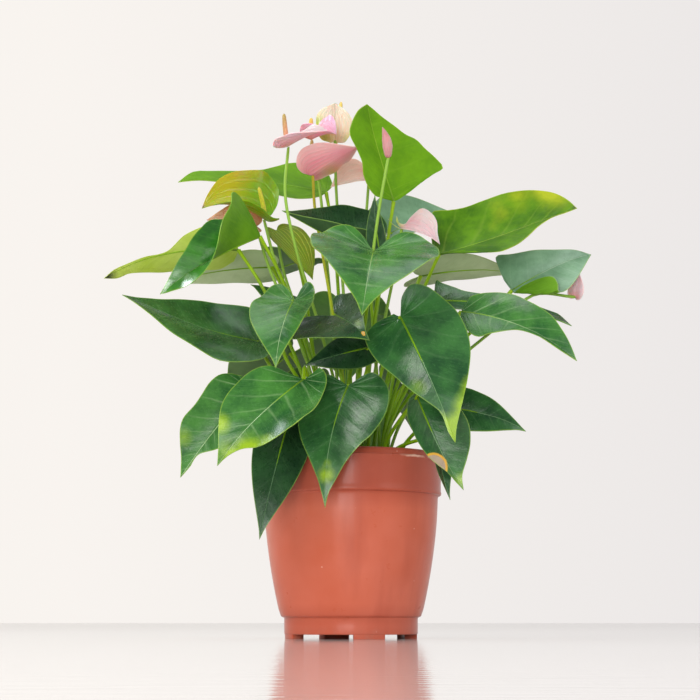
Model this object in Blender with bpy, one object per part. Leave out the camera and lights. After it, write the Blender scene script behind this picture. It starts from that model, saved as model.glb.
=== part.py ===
"""Potted anthurium: a terracotta-coloured pot on four feet, soil, leaves and blooms.

Places on the plant are given in millimetres as a person in front of it reads them: how far
across and how far up the point shows, and how deep it lies behind the pot's axis.
The finished objects are in metres, +Z up, with the origin on the pot's axis at floor level
and the front towards -Y.
"""

import math
from dataclasses import dataclass

import bmesh
import bpy
import numpy as np

MM = 0.001

# Eye that the places across, up and deep are read from
EYE_DISTANCE = 1560.0
EYE_HEIGHT = 16.5
EYE_PITCH = math.radians(8.71)
SIGHT_REACH = 1564.4
SIGHT_MIDDLE = 256.0

# Pot
POT_HEIGHT = 161.5
POT_RIM_RADIUS = 80.0
POT_BAND_RADIUS = 58.4
POT_SIDES = 32
FOOT_HEIGHT = 3.8
FOOT_ARC = math.radians(28.0)
FOOT_START = math.radians(16.0)
FOOT_COUNT = 4
FOOT_INNER_RADIUS = 47.0
BASE_THICKNESS = 3.0
DRAIN_RADIUS = 7.0
# The wall's inner face from the floor up: radius, height above the floor
INNER_WALL = (
    (54.6, 0.0), (55.5, 12.2), (60.4, 17.2), (69.7, 65.2), (73.9, 115.7), (74.8, 153.2),
)

# Soil
SOIL_TOP = 146.0
SOIL_GAP = 0.3
SOIL_EDGE = 145.0
SOIL_RINGS = 3
SOIL_SECTORS = 22
SOIL_LUMP = 1.6

# Stems
HOLE_DEPTH = 22.0
HOLE_PLAY = 0.75
HOLE_SIDES = 6
STEM_SIDES = 5
STEM_SPANS = 7
STEM_STRAIGHT = 8.0
STEM_CLEARANCE = 0.8
PETIOLE_RADIUS = 1.75
STALK_RADIUS = 1.5
FOOT_SPACING = 8.6
FOOT_REACH = 54.0
STALK_TAPER = 0.8
KNOT_SPANS = 20
STEM_PULL = 0.55
STEM_RISE = 0.9
PULL_REACH = 110.0
# Shares of the blade's normal, its length and the upright in the way a stalk comes in
LEAF_ARRIVAL = (0.55, 0.6, 0.35)
BRACT_ARRIVAL = (0.7, 0.6)
# Feet of low stems stand further out than those of tall ones
FOOT_NEAR = 8.0
FOOT_SPREAD = 38.0
TALL_STEM = 400.0
HEIGHT_SPREAD = 200.0
LEAN_REACH = 60.0
FOOT_ROUNDS = 400
FOOT_PUSH = 0.35
CLEAR_ROUNDS = 160
CLEAR_ENOUGH = 0.02
CLEAR_PUSH = 0.4
CLEAR_STEP = 2.0
NEAR_END_HOLD = 0.3
CROWN_RADIUS = 4.0
CROWN_HEIGHT = 12.0
CROWN_ROOT = 8.0
CROWN_SHOULDER = 4.0
CROWN_SIDES = 8
CROWN_TAPER = 0.75
CROWN_HOLE_SIDES = 10
CUT_ABOVE = 12.0

# Blades
BLADE_THICKNESS = 0.8
SPATHE_THICKNESS = 0.8
LEAF_RIBS = 8
CROWN_RIBS = 6
LEAF_STEPS = 3
SPATHE_RIBS = 7
SPATHE_STEPS = 2
CURVE_SPANS = 24
OUTLINE_POINTS = 400
RIPPLES = 2.2
STEEPEST = math.radians(65.0)
CROWN_BLADE_RISE = 14.0
PIECE_GAP = 0.35
WELD = 0.00001

# Spikes and buds, along their length: share of the length, share of the radius
SPIKE_PROFILE = ((0.0, 0.75), (0.08, 0.95), (0.35, 1.0), (0.7, 0.92), (0.94, 0.7), (1.0, 0.3))
SPIKE_SIDES = 7
SPIKE_BOW = 0.06
BUD_PROFILE = ((0.0, 0.35), (0.12, 0.75), (0.35, 1.0), (0.6, 0.85), (0.85, 0.4), (1.0, 0.08))
BUD_SIDES = 8

# Half outlines from the sinus to the tip: along the midrib, out from it
HEART = (
    (0.0, 0.0), (-0.09, 0.09), (-0.17, 0.22), (-0.22, 0.45), (-0.16, 0.74), (0.03, 0.95),
    (0.2, 1.0), (0.4, 0.89), (0.6, 0.64), (0.78, 0.34), (0.9, 0.13), (0.97, 0.035), (1.0, 0.0),
)
BRACT = (
    (0.0, 0.0), (-0.05, 0.13), (-0.1, 0.32), (-0.09, 0.6), (0.03, 0.88), (0.22, 1.0),
    (0.42, 0.94), (0.62, 0.7), (0.8, 0.38), (0.91, 0.16), (0.97, 0.05), (1.0, 0.0),
)
OUTLINE_START = 0.075
RIB_SLANT = 0.25
TRACE_STEPS = 14
TRACE_DAMPING = 0.7
TRACE_LEAST = (-0.3, 0.07)
TRACE_MOST = (0.97, 1.25)
CREASE_RADIUS = 1.6

# Colours
GREEN_DARK = (0.03, 0.13, 0.04, 1.0)
GREEN_FRESH = (0.16, 0.42, 0.03, 1.0)
GREEN_STEM = (0.25, 0.45, 0.04, 1.0)
PINK = (0.80, 0.36, 0.40, 1.0)
CREAM_PINK = (0.82, 0.55, 0.47, 1.0)
OLD_YELLOW = (0.45, 0.46, 0.04, 1.0)
SPADIX_CORAL = (0.75, 0.24, 0.13, 1.0)
SPADIX_YELLOW = (0.82, 0.58, 0.12, 1.0)
TERRACOTTA = (0.56, 0.15, 0.085, 1.0)
PEAT = (0.045, 0.028, 0.018, 1.0)
BLADE_ROUGHNESS = 0.35
STEM_ROUGHNESS = 0.4
POT_ROUGHNESS = 0.3
SOIL_ROUGHNESS = 0.95


@dataclass
class Blade:
    """A leaf or a bract by its base, its tip and the widest point of each half."""

    name: str
    base: tuple
    tip: tuple
    one: tuple
    two: tuple
    arch: float = 0.05
    sway: float = 0.0
    curl: tuple = (25.0, 25.0)
    hook: float = 0.04
    lift: float = 0.06
    wave: float = 0.03
    lobes: float = 1.0
    fold: tuple = (0.0, 0.0)
    crease: tuple = ()
    turned: bool = False
    foot: tuple = None
    via: tuple = ()
    fresh: bool = False


@dataclass
class Bloom:
    """A bract on its stalk, with the spike that it holds; a bud has no bract."""

    name: str
    bract: Blade = None
    spike: tuple = ()
    spike_aside: float = 0.0
    spike_radius: float = 2.2
    bract_colour: tuple = PINK
    spike_colour: tuple = SPADIX_CORAL
    bud: tuple = ()
    foot: tuple = None
    via: tuple = ()


LEAVES = (
    Blade("leaf_front_heart", (20, 344, -78), (10, 291, -166), (-36, 353, -96), (78, 341, -96),
          arch=0.08, curl=(-20, -20), lift=0.08),
    Blade("leaf_front_right", (44, 285, -104), (93, 177, -144), (12, 264, -106), (111, 256, -108),
          arch=0.05, curl=(25, 25), hook=0.06, lift=0.08),
    Blade("leaf_left_near", (-51, 300, -84), (-68, 243, -150), (-90, 288, -98), (-30, 309, -88),
          arch=0.06, curl=(20, 30), lift=0.08, via=((-63, 262, -68),)),
    Blade("leaf_left_long", (-84, 264, -16), (-202, 309, -34), (-114, 305, 10), (-104, 248, -60),
          arch=-0.06, curl=(20, -20), lobes=0.5),
    Blade("leaf_left_low", (-42, 230, -100), (-120, 156, -136), (-84, 243, -94), (-24, 212, -128),
          arch=0.05, curl=(25, 40), via=((-40, 238, -74),)),
    Blade("leaf_left_outer", (-90, 222, -44), (-152, 144, -66), (-126, 230, -42), (-88, 184, -54),
          arch=0.05, via=((-66, 205, -36),)),
    Blade("leaf_front_low", (-3, 224, -82), (-24, 117, -106), (-48, 194, -84), (35, 212, -96),
          arch=0.04, sway=0.04),
    Blade("leaf_low_dark", (-56, 192, -66), (-82, 89, -98), (-92, 152, -78), (-40, 152, -81),
          arch=0.03),
    Blade("leaf_centre_dark", (-14, 287, -64), (11, 272, -146), (-58, 268, -84), (3, 306, -80),
          arch=0.02, curl=(20, 30), hook=0.1, via=((-13, 262, -44),)),
    Blade("leaf_under_dark", (14, 258, -60), (-42, 243, -72), (-6, 270, -60), (-2, 237, -68),
          arch=0.02),
    Blade("leaf_right_low", (59, 214, -72), (98, 132, -108), (50, 186, -66), (107, 190, -100),
          arch=0.04),
    Blade("leaf_right_low_small", (76, 178, -69), (87, 123, -86), (74, 160, -67), (92, 160, -76),
          arch=0.03),
    Blade("leaf_right_outer", (85, 205, -50), (156, 186, -58), (112, 218, -38), (112, 178, -66),
          arch=0.06, hook=0.05),
    Blade("leaf_right_middle", (76, 300, -40), (197, 282, -50), (100, 318, -10), (100, 289, -47),
          arch=0.05, hook=0.05, lobes=0.4),
    Blade("leaf_right_drooping", (98, 290, -62), (201, 250, -96), (124, 308, -62), (112, 262, -98),
          arch=0.1, hook=0.05, lobes=0.3),
    Blade("leaf_right_bright", (78, 341, -26), (200, 385, -40), (113, 389, -8), (118, 344, -56),
          arch=-0.03, curl=(20, -15), hook=0.03, fresh=True),
    Blade("leaf_right_blue", (143, 309, -10), (213, 343, -6), (130, 339, 14), (166, 294, -34),
          arch=0.04, crease=(1, (143, 309), (190, 308), 160)),
    Blade("leaf_right_pale", (62, 322, 10), (150, 326, 40), (100, 341, 0), (96, 314, 56),
          arch=0.04, lobes=0.5, fresh=True),
    Blade("leaf_top_bright", (38, 388, -14), (13, 474, -30), (-1, 442, -44), (80, 425, -10),
          arch=-0.02, curl=(-20, 30), hook=-0.03, lift=0.1, fresh=True),
    Blade("leaf_top_left", (-22, 396, 58), (-153, 410, 30), (-62, 422, 92), (-58, 391, 30),
          arch=0.03, curl=(20, 10), lobes=0.7, fresh=True),
    Blade("leaf_left_glossy", (-81, 357, -58), (-170, 308, -88), (-120, 372, -64), (-70, 328, -88),
          arch=0.05, curl=(-20, 30), lift=0.12, fold=(0, 112)),
    Blade("leaf_left_yellow", (-100, 345, -20), (-220, 323, -22), (-135, 367, -42), (-140, 322, 6),
          arch=0.1, lobes=0.4, fresh=True),
    Blade("leaf_left_pale", (-70, 330, 30), (-165, 316, 48), (-97, 342, 12), (-97, 312, 62),
          arch=0.04, lobes=0.4, fresh=True),
    Blade("leaf_left_hidden", (-44, 296, 38), (-89, 316, 58), (-57, 306, 54), (-60, 289, 26),
          arch=0.03, lobes=0.4),
    Blade("leaf_top_boat", (16, 346, -22), (-60, 383, -40), (-12, 378, -54), (-14, 398, -4),
          arch=-0.06, curl=(20, 20), lobes=0.6),
    Blade("leaf_centre_narrow", (25, 346, -54), (20, 394, -58), (13, 362, -50), (30, 368, -62),
          arch=0.02, wave=0.0, lobes=0.4),
    Blade("leaf_right_back", (36, 360, 44), (92, 380, 72), (60, 402, 72), (62, 362, 34),
          arch=0.04),
)

# Leaves behind share a crown, which stands at a foot: bearing from the front, then reach and
# height of base and tip, half width and the turn of the blade about its midrib
CROWNS = (
    ("leaves_back_left", (-26.0, 30.0), (
        (222.0, 84.0, 262.0, 174.0, 210.0, 42.0, 6.0),
        (212.0, 82.0, 226.0, 150.0, 140.0, 32.0, -6.0),
        (216.0, 84.0, 350.0, 146.0, 342.0, 30.0, 8.0),
    )),
    ("leaves_back_middle", (2.0, 42.0), (
        (182.0, 84.0, 304.0, 166.0, 246.0, 42.0, 4.0),
        (178.0, 92.0, 216.0, 140.0, 128.0, 32.0, 0.0),
    )),
    ("leaves_back_right", (28.0, 30.0), (
        (140.0, 84.0, 286.0, 172.0, 238.0, 42.0, -6.0),
        (144.0, 84.0, 232.0, 156.0, 150.0, 32.0, 6.0),
        (128.0, 78.0, 246.0, 138.0, 192.0, 28.0, 8.0),
        (164.0, 64.0, 350.0, 130.0, 338.0, 30.0, -6.0),
    )),
)

BLOOMS = (
    Bloom("bloom_left", Blade("", (-56, 437, -44), (-22, 453, -76), (-71, 441, -62), (-43, 451, -34),
                              arch=0.02),
          spike=(27.0, 0.25), via=((-56, 375, -52),)),
    Bloom("bloom_behind", Blade("", (-35, 443, 10), (-13, 449, -12), (-52, 453, 2), (-28, 461, 22)),
          spike=(17.0, 0.2), spike_colour=SPADIX_YELLOW, via=((-27, 392, 12),)),
    Bloom("bloom_middle", Blade("", (-34, 411, -12), (6, 438, -34), (-49, 431, -30), (-14, 415, 8),
                                arch=0.0),
          spike=(35.0, 0.2), via=((-33, 388, 4),)),
    Bloom("bloom_ribbed", Blade("", (-14, 441, 24), (-14, 474, 52), (-33, 456, 36), (4, 457, 36),
                                curl=(56, 56), arch=-0.1, turned=True),
          spike=(61.0, 0.93), spike_aside=-0.085, spike_radius=2.5, spike_colour=SPADIX_YELLOW,
          bract_colour=CREAM_PINK, via=((-13, 396, 8),)),
    Bloom("bloom_salmon", Blade("", (16, 408, 34), (-18, 402, 20), (2, 425, 38), (2, 404, 18)),
          bract_colour=CREAM_PINK),
    Bloom("bloom_bud", bud=((33, 427, -72), (28, 454, -76), 4.5), via=((20.5, 352, -68),)),
    Bloom("bloom_hood", Blade("", (-77, 372, -14), (-132, 384, -30), (-88, 419, -2), (-96, 383, -38),
                              arch=0.12, curl=(40, 40), lift=0.13, lobes=1.9),
          spike=(28.0, 0.3), spike_colour=SPADIX_YELLOW, bract_colour=OLD_YELLOW),
    Bloom("bloom_brown", Blade("", (-84, 366, -8), (-128, 373, -14), (-106, 388, 0), (-104, 364, -26)),
          bract_colour=CREAM_PINK),
    Bloom("bloom_drooping", Blade("", (-66, 362, 12), (-33, 320, 0), (-36, 353, 22), (-62, 342, -6)),
          bract_colour=OLD_YELLOW),
    Bloom("bloom_right", Blade("", (45, 364, -34), (79, 352, -62), (66, 384, -30), (52, 362, -56),
                               arch=0.05, curl=(30, 40))),
    Bloom("bloom_far_right", Blade("", (199, 303, -14), (204, 323, -18), (193, 310, -10), (208, 311, -21),
                                   arch=0.0),
          via=((150, 294, -14), (180, 306, -10))),
)


# Margins of the halves that differ from the usual outline, as they show from the front: across
# and up, from the sinus round the lobe towards the tip
RIMS = {
    "leaf_left_low": (
        ((-55, 235), (-72, 242), (-91, 236), (-105, 223), (-114, 210), (-117, 198), (-118, 184), (-118, 170)),
        ((-29, 241), (-23, 236), (-22, 226), (-29, 209), (-44, 195), (-58, 185), (-72, 175), (-83, 170),
         (-97, 168), (-111, 162)),
    ),
    "leaf_left_outer": (
        ((-97, 233), (-107, 235), (-117, 234), (-126, 227), (-133, 216), (-140, 206), (-149, 196),
         (-152, 186), (-152, 173), (-151, 159)),
        ((-82, 208), (-86, 192), (-100, 178), (-119, 168), (-136, 163), (-146, 154)),
    ),
    "leaf_front_right": (
        ((38, 288), (22, 280), (13, 269), (15, 258), (24, 245), (38, 233), (52, 221), (66, 211), (79, 201),
         (87, 192), (91, 184)),
        (),
    ),
    "leaf_front_low": (
        ((-10, 229), (-20, 234), (-32, 232), (-42, 222), (-47, 205), (-47, 189), (-44, 175), (-37, 159),
         (-30, 142), (-26, 128)),
        ((10, 233), (20, 236), (30, 228), (34, 214), (30, 198), (19, 182), (8, 172), (-3, 159), (-13, 142),
         (-20, 129)),
    ),
    "leaf_right_low": (
        ((55, 216), (51, 211), (50, 198), (54, 186), (59, 175), (69, 161), (77, 154), (86, 147), (93, 139)),
        ((66, 218), (80, 216), (95, 206), (104, 192), (106, 175), (103, 159), (99, 145)),
    ),
    "leaf_right_middle": (
        ((74, 308), (76, 318), (91, 312), (102, 308), (124, 305), (150, 300), (173, 292), (184, 288)),
        (),
    ),
    "leaf_right_drooping": (
        ((101, 296), (106, 303), (115, 306), (124, 307), (134, 307), (146, 305), (157, 300), (168, 294),
         (179, 286), (187, 275), (194, 263)),
        ((97, 281), (104, 273), (113, 268), (124, 271), (146, 274), (170, 275), (184, 270), (193, 260)),
    ),
    "leaf_right_bright": (
        ((72, 350), (70, 370), (73, 379), (85, 380), (99, 382), (113, 387), (124, 391), (140, 396),
         (157, 398), (173, 397), (184, 394), (194, 389)),
        ((91, 345), (102, 346), (113, 343), (124, 343), (135, 344), (146, 349), (157, 357), (168, 367),
         (179, 376), (189, 381)),
    ),
    "leaf_right_blue": (
        ((136, 318), (131, 330), (129, 339), (140, 341), (157, 344), (178, 345), (198, 345)),
        ((150, 300), (160, 295), (170, 294), (179, 299), (185, 306), (191, 309), (199, 317), (206, 328)),
    ),
    "leaf_top_bright": (
        ((29, 391), (22, 393), (16, 400), (11, 412), (10, 423), (6, 433), (-1, 448), (1, 459), (5, 467),
         (8, 472)),
        ((43, 390), (53, 397), (63, 405), (73, 412), (82, 418), (76, 426), (66, 435), (58, 443), (48, 448),
         (39, 455), (28, 463), (20, 470)),
    ),
    "leaf_top_left": (
        ((-16, 402), (-18, 408), (-23, 416), (-39, 421), (-54, 422), (-67, 419), (-80, 416), (-101, 415),
         (-122, 415), (-141, 414)),
        ((-26, 393), (-36, 391), (-54, 390), (-65, 393), (-85, 398), (-105, 403), (-122, 406), (-138, 409)),
    ),
    "leaf_left_glossy": (
        ((-88, 366), (-99, 370), (-114, 372), (-126, 371), (-134, 364), (-141, 356), (-148, 344), (-154, 335),
         (-162, 320)),
        ((-71, 346), (-62, 335), (-64, 328), (-72, 326), (-92, 319), (-109, 315), (-127, 311), (-144, 309),
         (-158, 308)),
    ),
    "leaf_left_yellow": (
        ((-104, 356), (-113, 365), (-122, 368), (-131, 366), (-148, 358), (-164, 343), (-182, 336),
         (-193, 330), (-201, 329), (-211, 327)),
        ((-104, 335), (-118, 326), (-140, 325), (-159, 326), (-180, 325), (-197, 324), (-207, 320)),
    ),
    "bloom_ribbed": (
        ((-18, 440), (-26, 443), (-30, 450), (-31, 458), (-30, 465), (-26, 470), (-20, 473)),
        ((-10, 440), (-5, 441), (0, 449), (2, 457), (0, 463), (-4, 468), (-9, 472)),
    ),
    "bloom_right": (
        ((40, 371), (37, 377), (42, 370), (48, 368), (53, 374), (61, 381), (70, 379), (76, 371), (77, 360)),
        ((39, 366), (41, 362), (52, 360), (63, 357), (72, 354)),
    ),
    "bloom_hood": (
        ((-70, 377), (-65, 387), (-65, 400), (-73, 411), (-86, 416), (-101, 415), (-117, 408), (-127, 395)),
        (),
    ),
}


def seen(across, up, deep):
    """The place, in millimetres, of a point that shows across and up, deep behind the axis."""
    forward = np.array((0.0, math.cos(EYE_PITCH), math.sin(EYE_PITCH)))
    upward = np.array((0.0, -math.sin(EYE_PITCH), math.cos(EYE_PITCH)))
    eye = np.array((0.0, -EYE_DISTANCE, EYE_HEIGHT))
    ray = forward + upward * ((up - SIGHT_MIDDLE) / SIGHT_REACH)
    ray[0] += across / SIGHT_REACH
    return eye + ray * ((EYE_DISTANCE + deep) / ray[1])


def shown(place):
    """How far across and how far up a place shows from the front."""
    deep = EYE_DISTANCE + place[1]
    rise = place[2] - EYE_HEIGHT
    reach = deep * math.cos(EYE_PITCH) + rise * math.sin(EYE_PITCH)
    lift = rise * math.cos(EYE_PITCH) - deep * math.sin(EYE_PITCH)
    return np.array((place[0] * SIGHT_REACH / reach, SIGHT_MIDDLE + lift * SIGHT_REACH / reach))


def unit(vector):
    return vector / np.linalg.norm(vector)


def smooth_through(points, count):
    """A smooth curve through a list of points, as count points evenly spread along it."""
    knots = np.array(points, float)
    first = 2.0 * knots[0] - knots[1]
    last = 2.0 * knots[-1] - knots[-2]
    knots = np.vstack((first, knots, last))
    fine = []
    for k in range(1, len(knots) - 2):
        for t in np.linspace(0.0, 1.0, CURVE_SPANS, endpoint=False):
            a, b, c, d = knots[k - 1:k + 3]
            fine.append(0.5 * (2.0 * b + (c - a) * t + (2.0 * a - 5.0 * b + 4.0 * c - d) * t ** 2
                               + (3.0 * b - a - 3.0 * c + d) * t ** 3))
    fine.append(knots[-2])
    return evenly(np.array(fine), count)


def evenly(line, count):
    """A line's points spread evenly over its length."""
    lengths = np.concatenate(((0.0,), np.cumsum(np.linalg.norm(np.diff(line, axis=0), axis=1))))
    wanted = np.linspace(0.0, lengths[-1], count)
    return np.stack([np.interp(wanted, lengths, line[:, i]) for i in range(line.shape[1])], axis=1)


class BladeForm:
    """The curved middle surface of a blade, from its four points and its bends."""

    def __init__(self, blade):
        self.blade = blade
        self.base = place(blade.base)
        tip = place(blade.tip)
        self.length = np.linalg.norm(tip - self.base)
        self.along = (tip - self.base) / self.length
        offsets = [self.sideways(place(p)) for p in (blade.one, blade.two)]
        self.widths = [np.linalg.norm(offset) for offset in offsets]
        self.sides = [offset / width for offset, width in zip(offsets, self.widths)]
        across = unit(self.sides[1] - self.sides[0])
        self.normal = unit(np.cross(across, self.along))
        middle = self.base + 0.5 * self.length * self.along
        outward = np.array((middle[0], middle[1], 0.0)) / 100.0
        wanted = np.array((0.0, 0.0, 1.0)) + outward
        facing = np.dot(self.normal, wanted)
        if (facing < 0.0) != blade.turned:
            self.normal = -self.normal
        self.across = np.cross(self.along, self.normal)
        self.crease = None
        if blade.crease:
            side, start, stop, degrees = blade.crease
            scale = np.array((self.length, self.widths[side]))
            ends = [self.found(side, target) * scale for target in (start, stop)]
            self.crease = (side, ends[0], unit(ends[1] - ends[0]), math.radians(degrees))

    def sideways(self, point):
        offset = point - self.base
        return offset - np.dot(offset, self.along) * self.along

    def midrib(self, u):
        if u < 0.0:
            u *= self.blade.lobes
        inside = max(u, 0.0)
        bow = 4.0 * inside * (1.0 - inside)
        if u < 0.0:
            bow = 4.0 * u
        droop = max(0.0, (u - 0.6) / 0.4) ** 2
        rise = self.blade.arch * bow - self.blade.hook * droop
        if u < 0.0:
            rise += self.blade.lift * (u / 0.2) ** 2
        return (self.base + self.along * self.length * u + self.normal * self.length * rise
                + self.across * self.length * self.blade.sway * max(bow, 0.0))

    def creased(self, u, v):
        """Where a point beyond the crease lands on the flat blade, and how far it rises."""
        side, start, way, turn = self.crease
        flat = np.array((u * self.length, v * self.widths[side])) - start
        square = np.array((-way[1], way[0]))
        beyond = float(np.dot(flat, square))
        if beyond <= 0.0:
            return u, v, 0.0
        rolled = min(beyond / CREASE_RADIUS, turn)
        spare = beyond - rolled * CREASE_RADIUS
        reach = CREASE_RADIUS * math.sin(rolled) + spare * math.cos(rolled)
        rise = CREASE_RADIUS * (1.0 - math.cos(rolled)) + spare * math.sin(rolled)
        landed = start + way * np.dot(flat, way) + square * reach
        return landed[0] / self.length, max(landed[1] / self.widths[side], 0.0), rise

    def point(self, side, u, v, folded=True):
        """The surface's place at u along and v out on side 0 or 1."""
        width = self.widths[side]
        out = self.sides[side]
        lift = unit(self.normal - np.dot(self.normal, out) * out)
        above = 0.0
        if folded and self.crease and self.crease[0] == side:
            u, v, above = self.creased(u, v)
        if folded and self.blade.fold[side]:
            turn = math.radians(self.blade.fold[side]) * min(max(1.0 - u, 0.0), 1.0)
            out, lift = (out * math.cos(turn) + lift * math.sin(turn),
                         lift * math.cos(turn) - out * math.sin(turn))
        half_turn = 0.5 * math.radians(self.blade.curl[side])
        if abs(half_turn) < 1e-4:
            reach, rise = width * v, 0.0
        else:
            radius = width / (2.0 * math.sin(half_turn))
            turn = half_turn - 2.0 * half_turn * v
            reach = radius * (math.sin(half_turn) - math.sin(turn))
            rise = -radius * (math.cos(turn) - math.cos(half_turn))
        ripple = self.blade.wave * width * v * v * math.sin(2.0 * math.pi * (RIPPLES * u + 0.3 * side))
        return self.midrib(u) + out * reach + lift * (rise + ripple + above)

    def found(self, side, target):
        """The share along and the share out of the point that shows at a place, unfolded."""
        start = shown(self.base)
        along = shown(self.base + self.along * self.length) - start
        out = shown(self.base + self.sides[side] * self.widths[side]) - start
        solve = np.linalg.inv(np.stack((along, out), axis=1))
        shares = solve @ (np.array(target) - start)
        for _ in range(TRACE_STEPS):
            shares = np.clip(shares, TRACE_LEAST, TRACE_MOST)
            miss = np.array(target) - shown(self.point(side, shares[0], shares[1], False))
            shares = shares + TRACE_DAMPING * (solve @ miss)
        return np.clip(shares, TRACE_LEAST, TRACE_MOST)

    def outlines(self, usual, name):
        """Both half outlines, traced where the blade has margins of its own."""
        halves = []
        for side, rim in enumerate(RIMS.get(name, ((), ()))):
            traced = [tuple(self.found(side, target)) for target in rim]
            halves.append((*traced, (1.0, 0.0)) if traced else usual)
        return halves

    def steepness(self, sign):
        """The steepest slope of a half, up for sign 1 and down for -1, at the base."""
        steepest = 0.0
        for side in (0, 1):
            rise = math.asin(float(np.dot(self.sides[side], self.normal)))
            rise -= 0.5 * math.radians(self.blade.curl[side])
            steepest = max(steepest, sign * rise)
        return min(steepest, STEEPEST)


def place(point):
    """A point given as across, up and deep, or a ready place as an array."""
    if isinstance(point, np.ndarray):
        return point
    return seen(*point)


def fan(outlines, ribs):
    """Where each rib leaves the midrib, and where it meets either margin."""
    rims = []
    for outline in outlines:
        curve = smooth_through(outline, OUTLINE_POINTS)
        first = 0.0 if outline[0][1] else OUTLINE_START
        shares = np.linspace(first, 1.0, ribs + 1)
        rims.append([curve[int(round(share * (len(curve) - 1)))] for share in shares])
    roots = [sum(rim[i][0] - RIB_SLANT * rim[i][1] for rim in rims) / 2.0 for i in range(ribs + 1)]
    return np.maximum.accumulate(np.clip(roots, 0.0, 1.0)), rims


def blade_mesh(form, outlines, ribs, steps):
    """Corners and triangles of a blade's middle surface: ribs fan out from the midrib."""
    roots, rims = fan(outlines, ribs)
    corners = []
    index = {}

    def corner(key, where):
        if key not in index:
            index[key] = len(corners)
            corners.append(where)
        return index[key]

    grid = []
    for side in (0, 1):
        rows = []
        for i, (rim_u, rim_v) in enumerate(rims[side]):
            root_u = roots[i]
            row = []
            for k in range(steps + 1):
                w = k / steps
                u = root_u + (rim_u - root_u) * w
                v = rim_v * w
                key = ("midrib", round(root_u, 5)) if k == 0 else (side, i, k)
                key = "tip" if i == ribs else key
                row.append(corner(key, form.point(side, u, max(v, 0.0))))
            rows.append(row)
        grid.append(rows)
    triangles = []
    for side in (0, 1):
        rows = grid[side]
        for i in range(ribs):
            for k in range(steps):
                a, b = rows[i][k], rows[i][k + 1]
                c, d = rows[i + 1][k + 1], rows[i + 1][k]
                for face in ((a, b, c), (a, c, d)):
                    if len(set(face)) == 3:
                        triangles.append(face if side else face[::-1])
    return corners, triangles


def new_object(name, corners, faces, colour, roughness):
    mesh = bpy.data.meshes.new(name)
    mesh.from_pydata([tuple(np.array(c) * MM) for c in corners], [], faces)
    mesh.validate()
    mesh.update()
    item = bpy.data.objects.new(name, mesh)
    bpy.context.scene.collection.objects.link(item)
    item.data.materials.append(finish(colour, roughness))
    return item


def finish(colour, roughness):
    """The plain finish of one colour, made once."""
    name = "finish_%02x%02x%02x" % tuple(int(255 * c) for c in colour[:3])
    material = bpy.data.materials.get(name)
    if material is None:
        material = bpy.data.materials.new(name)
        material.use_nodes = True
        shader = material.node_tree.nodes["Principled BSDF"]
        shader.inputs["Base Color"].default_value = colour
        shader.inputs["Roughness"].default_value = roughness
        shader.inputs["Metallic"].default_value = 0.0
    return material


def settled_mesh(item):
    """Replace an object's mesh by the one its modifiers give."""
    bpy.context.view_layer.update()
    graph = bpy.context.evaluated_depsgraph_get()
    mesh = bpy.data.meshes.new_from_object(item.evaluated_get(graph))
    item.modifiers.clear()
    item.data = mesh
    return item


def outward_faces(item):
    work = bmesh.new()
    work.from_mesh(item.data)
    bmesh.ops.recalc_face_normals(work, faces=work.faces)
    work.to_mesh(item.data)
    work.free()


def blade_object(name, form, outlines, ribs, steps, thickness, colour):
    corners, triangles = blade_mesh(form, outlines, ribs, steps)
    item = new_object(name, corners, triangles, colour, BLADE_ROUGHNESS)
    wall = item.modifiers.new("Thickness", "SOLIDIFY")
    wall.thickness = thickness * MM
    wall.offset = 0.0
    settled_mesh(item)
    outward_faces(item)
    return item


def tube_object(name, line, radii, sides, colour, last=None):
    """A closed tube along a line of places, with a radius at each; last is its end's way."""
    line = np.array(line)
    tangents = np.gradient(line, axis=0)
    if last is not None:
        tangents[-1] = last
    tangents = np.array([unit(t) for t in tangents])
    side = np.array((1.0, 0.0, 0.0))
    if abs(tangents[0][0]) > 0.9:
        side = np.array((0.0, 1.0, 0.0))
    corners = []
    for where, tangent, radius in zip(line, tangents, radii):
        side = unit(side - np.dot(side, tangent) * tangent)
        other = np.cross(tangent, side)
        for k in range(sides):
            angle = 2.0 * math.pi * k / sides
            corners.append(where + radius * (math.cos(angle) * side + math.sin(angle) * other))
    faces = []
    for ring in range(len(line) - 1):
        for k in range(sides):
            low = ring * sides + k
            low_next = ring * sides + (k + 1) % sides
            faces.append((low, low_next, low_next + sides, low + sides))
    faces.append(tuple(range(sides))[::-1])
    top = (len(line) - 1) * sides
    faces.append(tuple(range(top, top + sides)))
    item = new_object(name, corners, faces, colour, STEM_ROUGHNESS)
    outward_faces(item)
    return item


def is_closed(mesh):
    """Whether every edge of a mesh joins two faces."""
    work = bmesh.new()
    work.from_mesh(mesh)
    closed = all(edge.is_manifold for edge in work.edges)
    work.free()
    return closed


def combined(base, others, operation):
    """Join the others to an object, or cut them from it, and remove them."""
    group = bpy.data.collections.new("Group")
    bpy.context.scene.collection.children.link(group)
    for other in others:
        group.objects.link(other)
        bpy.context.scene.collection.objects.unlink(other)
    tool = base.modifiers.new("Combine", "BOOLEAN")
    tool.operation = operation
    tool.operand_type = "COLLECTION"
    tool.collection = group
    tool.solver = "EXACT"
    before = base.data
    settled_mesh(base)
    if not is_closed(base.data):
        base.data = before
        tool = base.modifiers.new("Combine", "BOOLEAN")
        tool.operation = operation
        tool.operand_type = "COLLECTION"
        tool.collection = group
        tool.solver = "MANIFOLD"
        settled_mesh(base)
    for other in others:
        bpy.data.objects.remove(other)
    bpy.data.collections.remove(group)
    work = bmesh.new()
    work.from_mesh(base.data)
    bmesh.ops.triangulate(work, faces=work.faces)
    bmesh.ops.dissolve_degenerate(work, dist=WELD, edges=work.edges)
    work.to_mesh(base.data)
    work.free()
    return base


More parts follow.
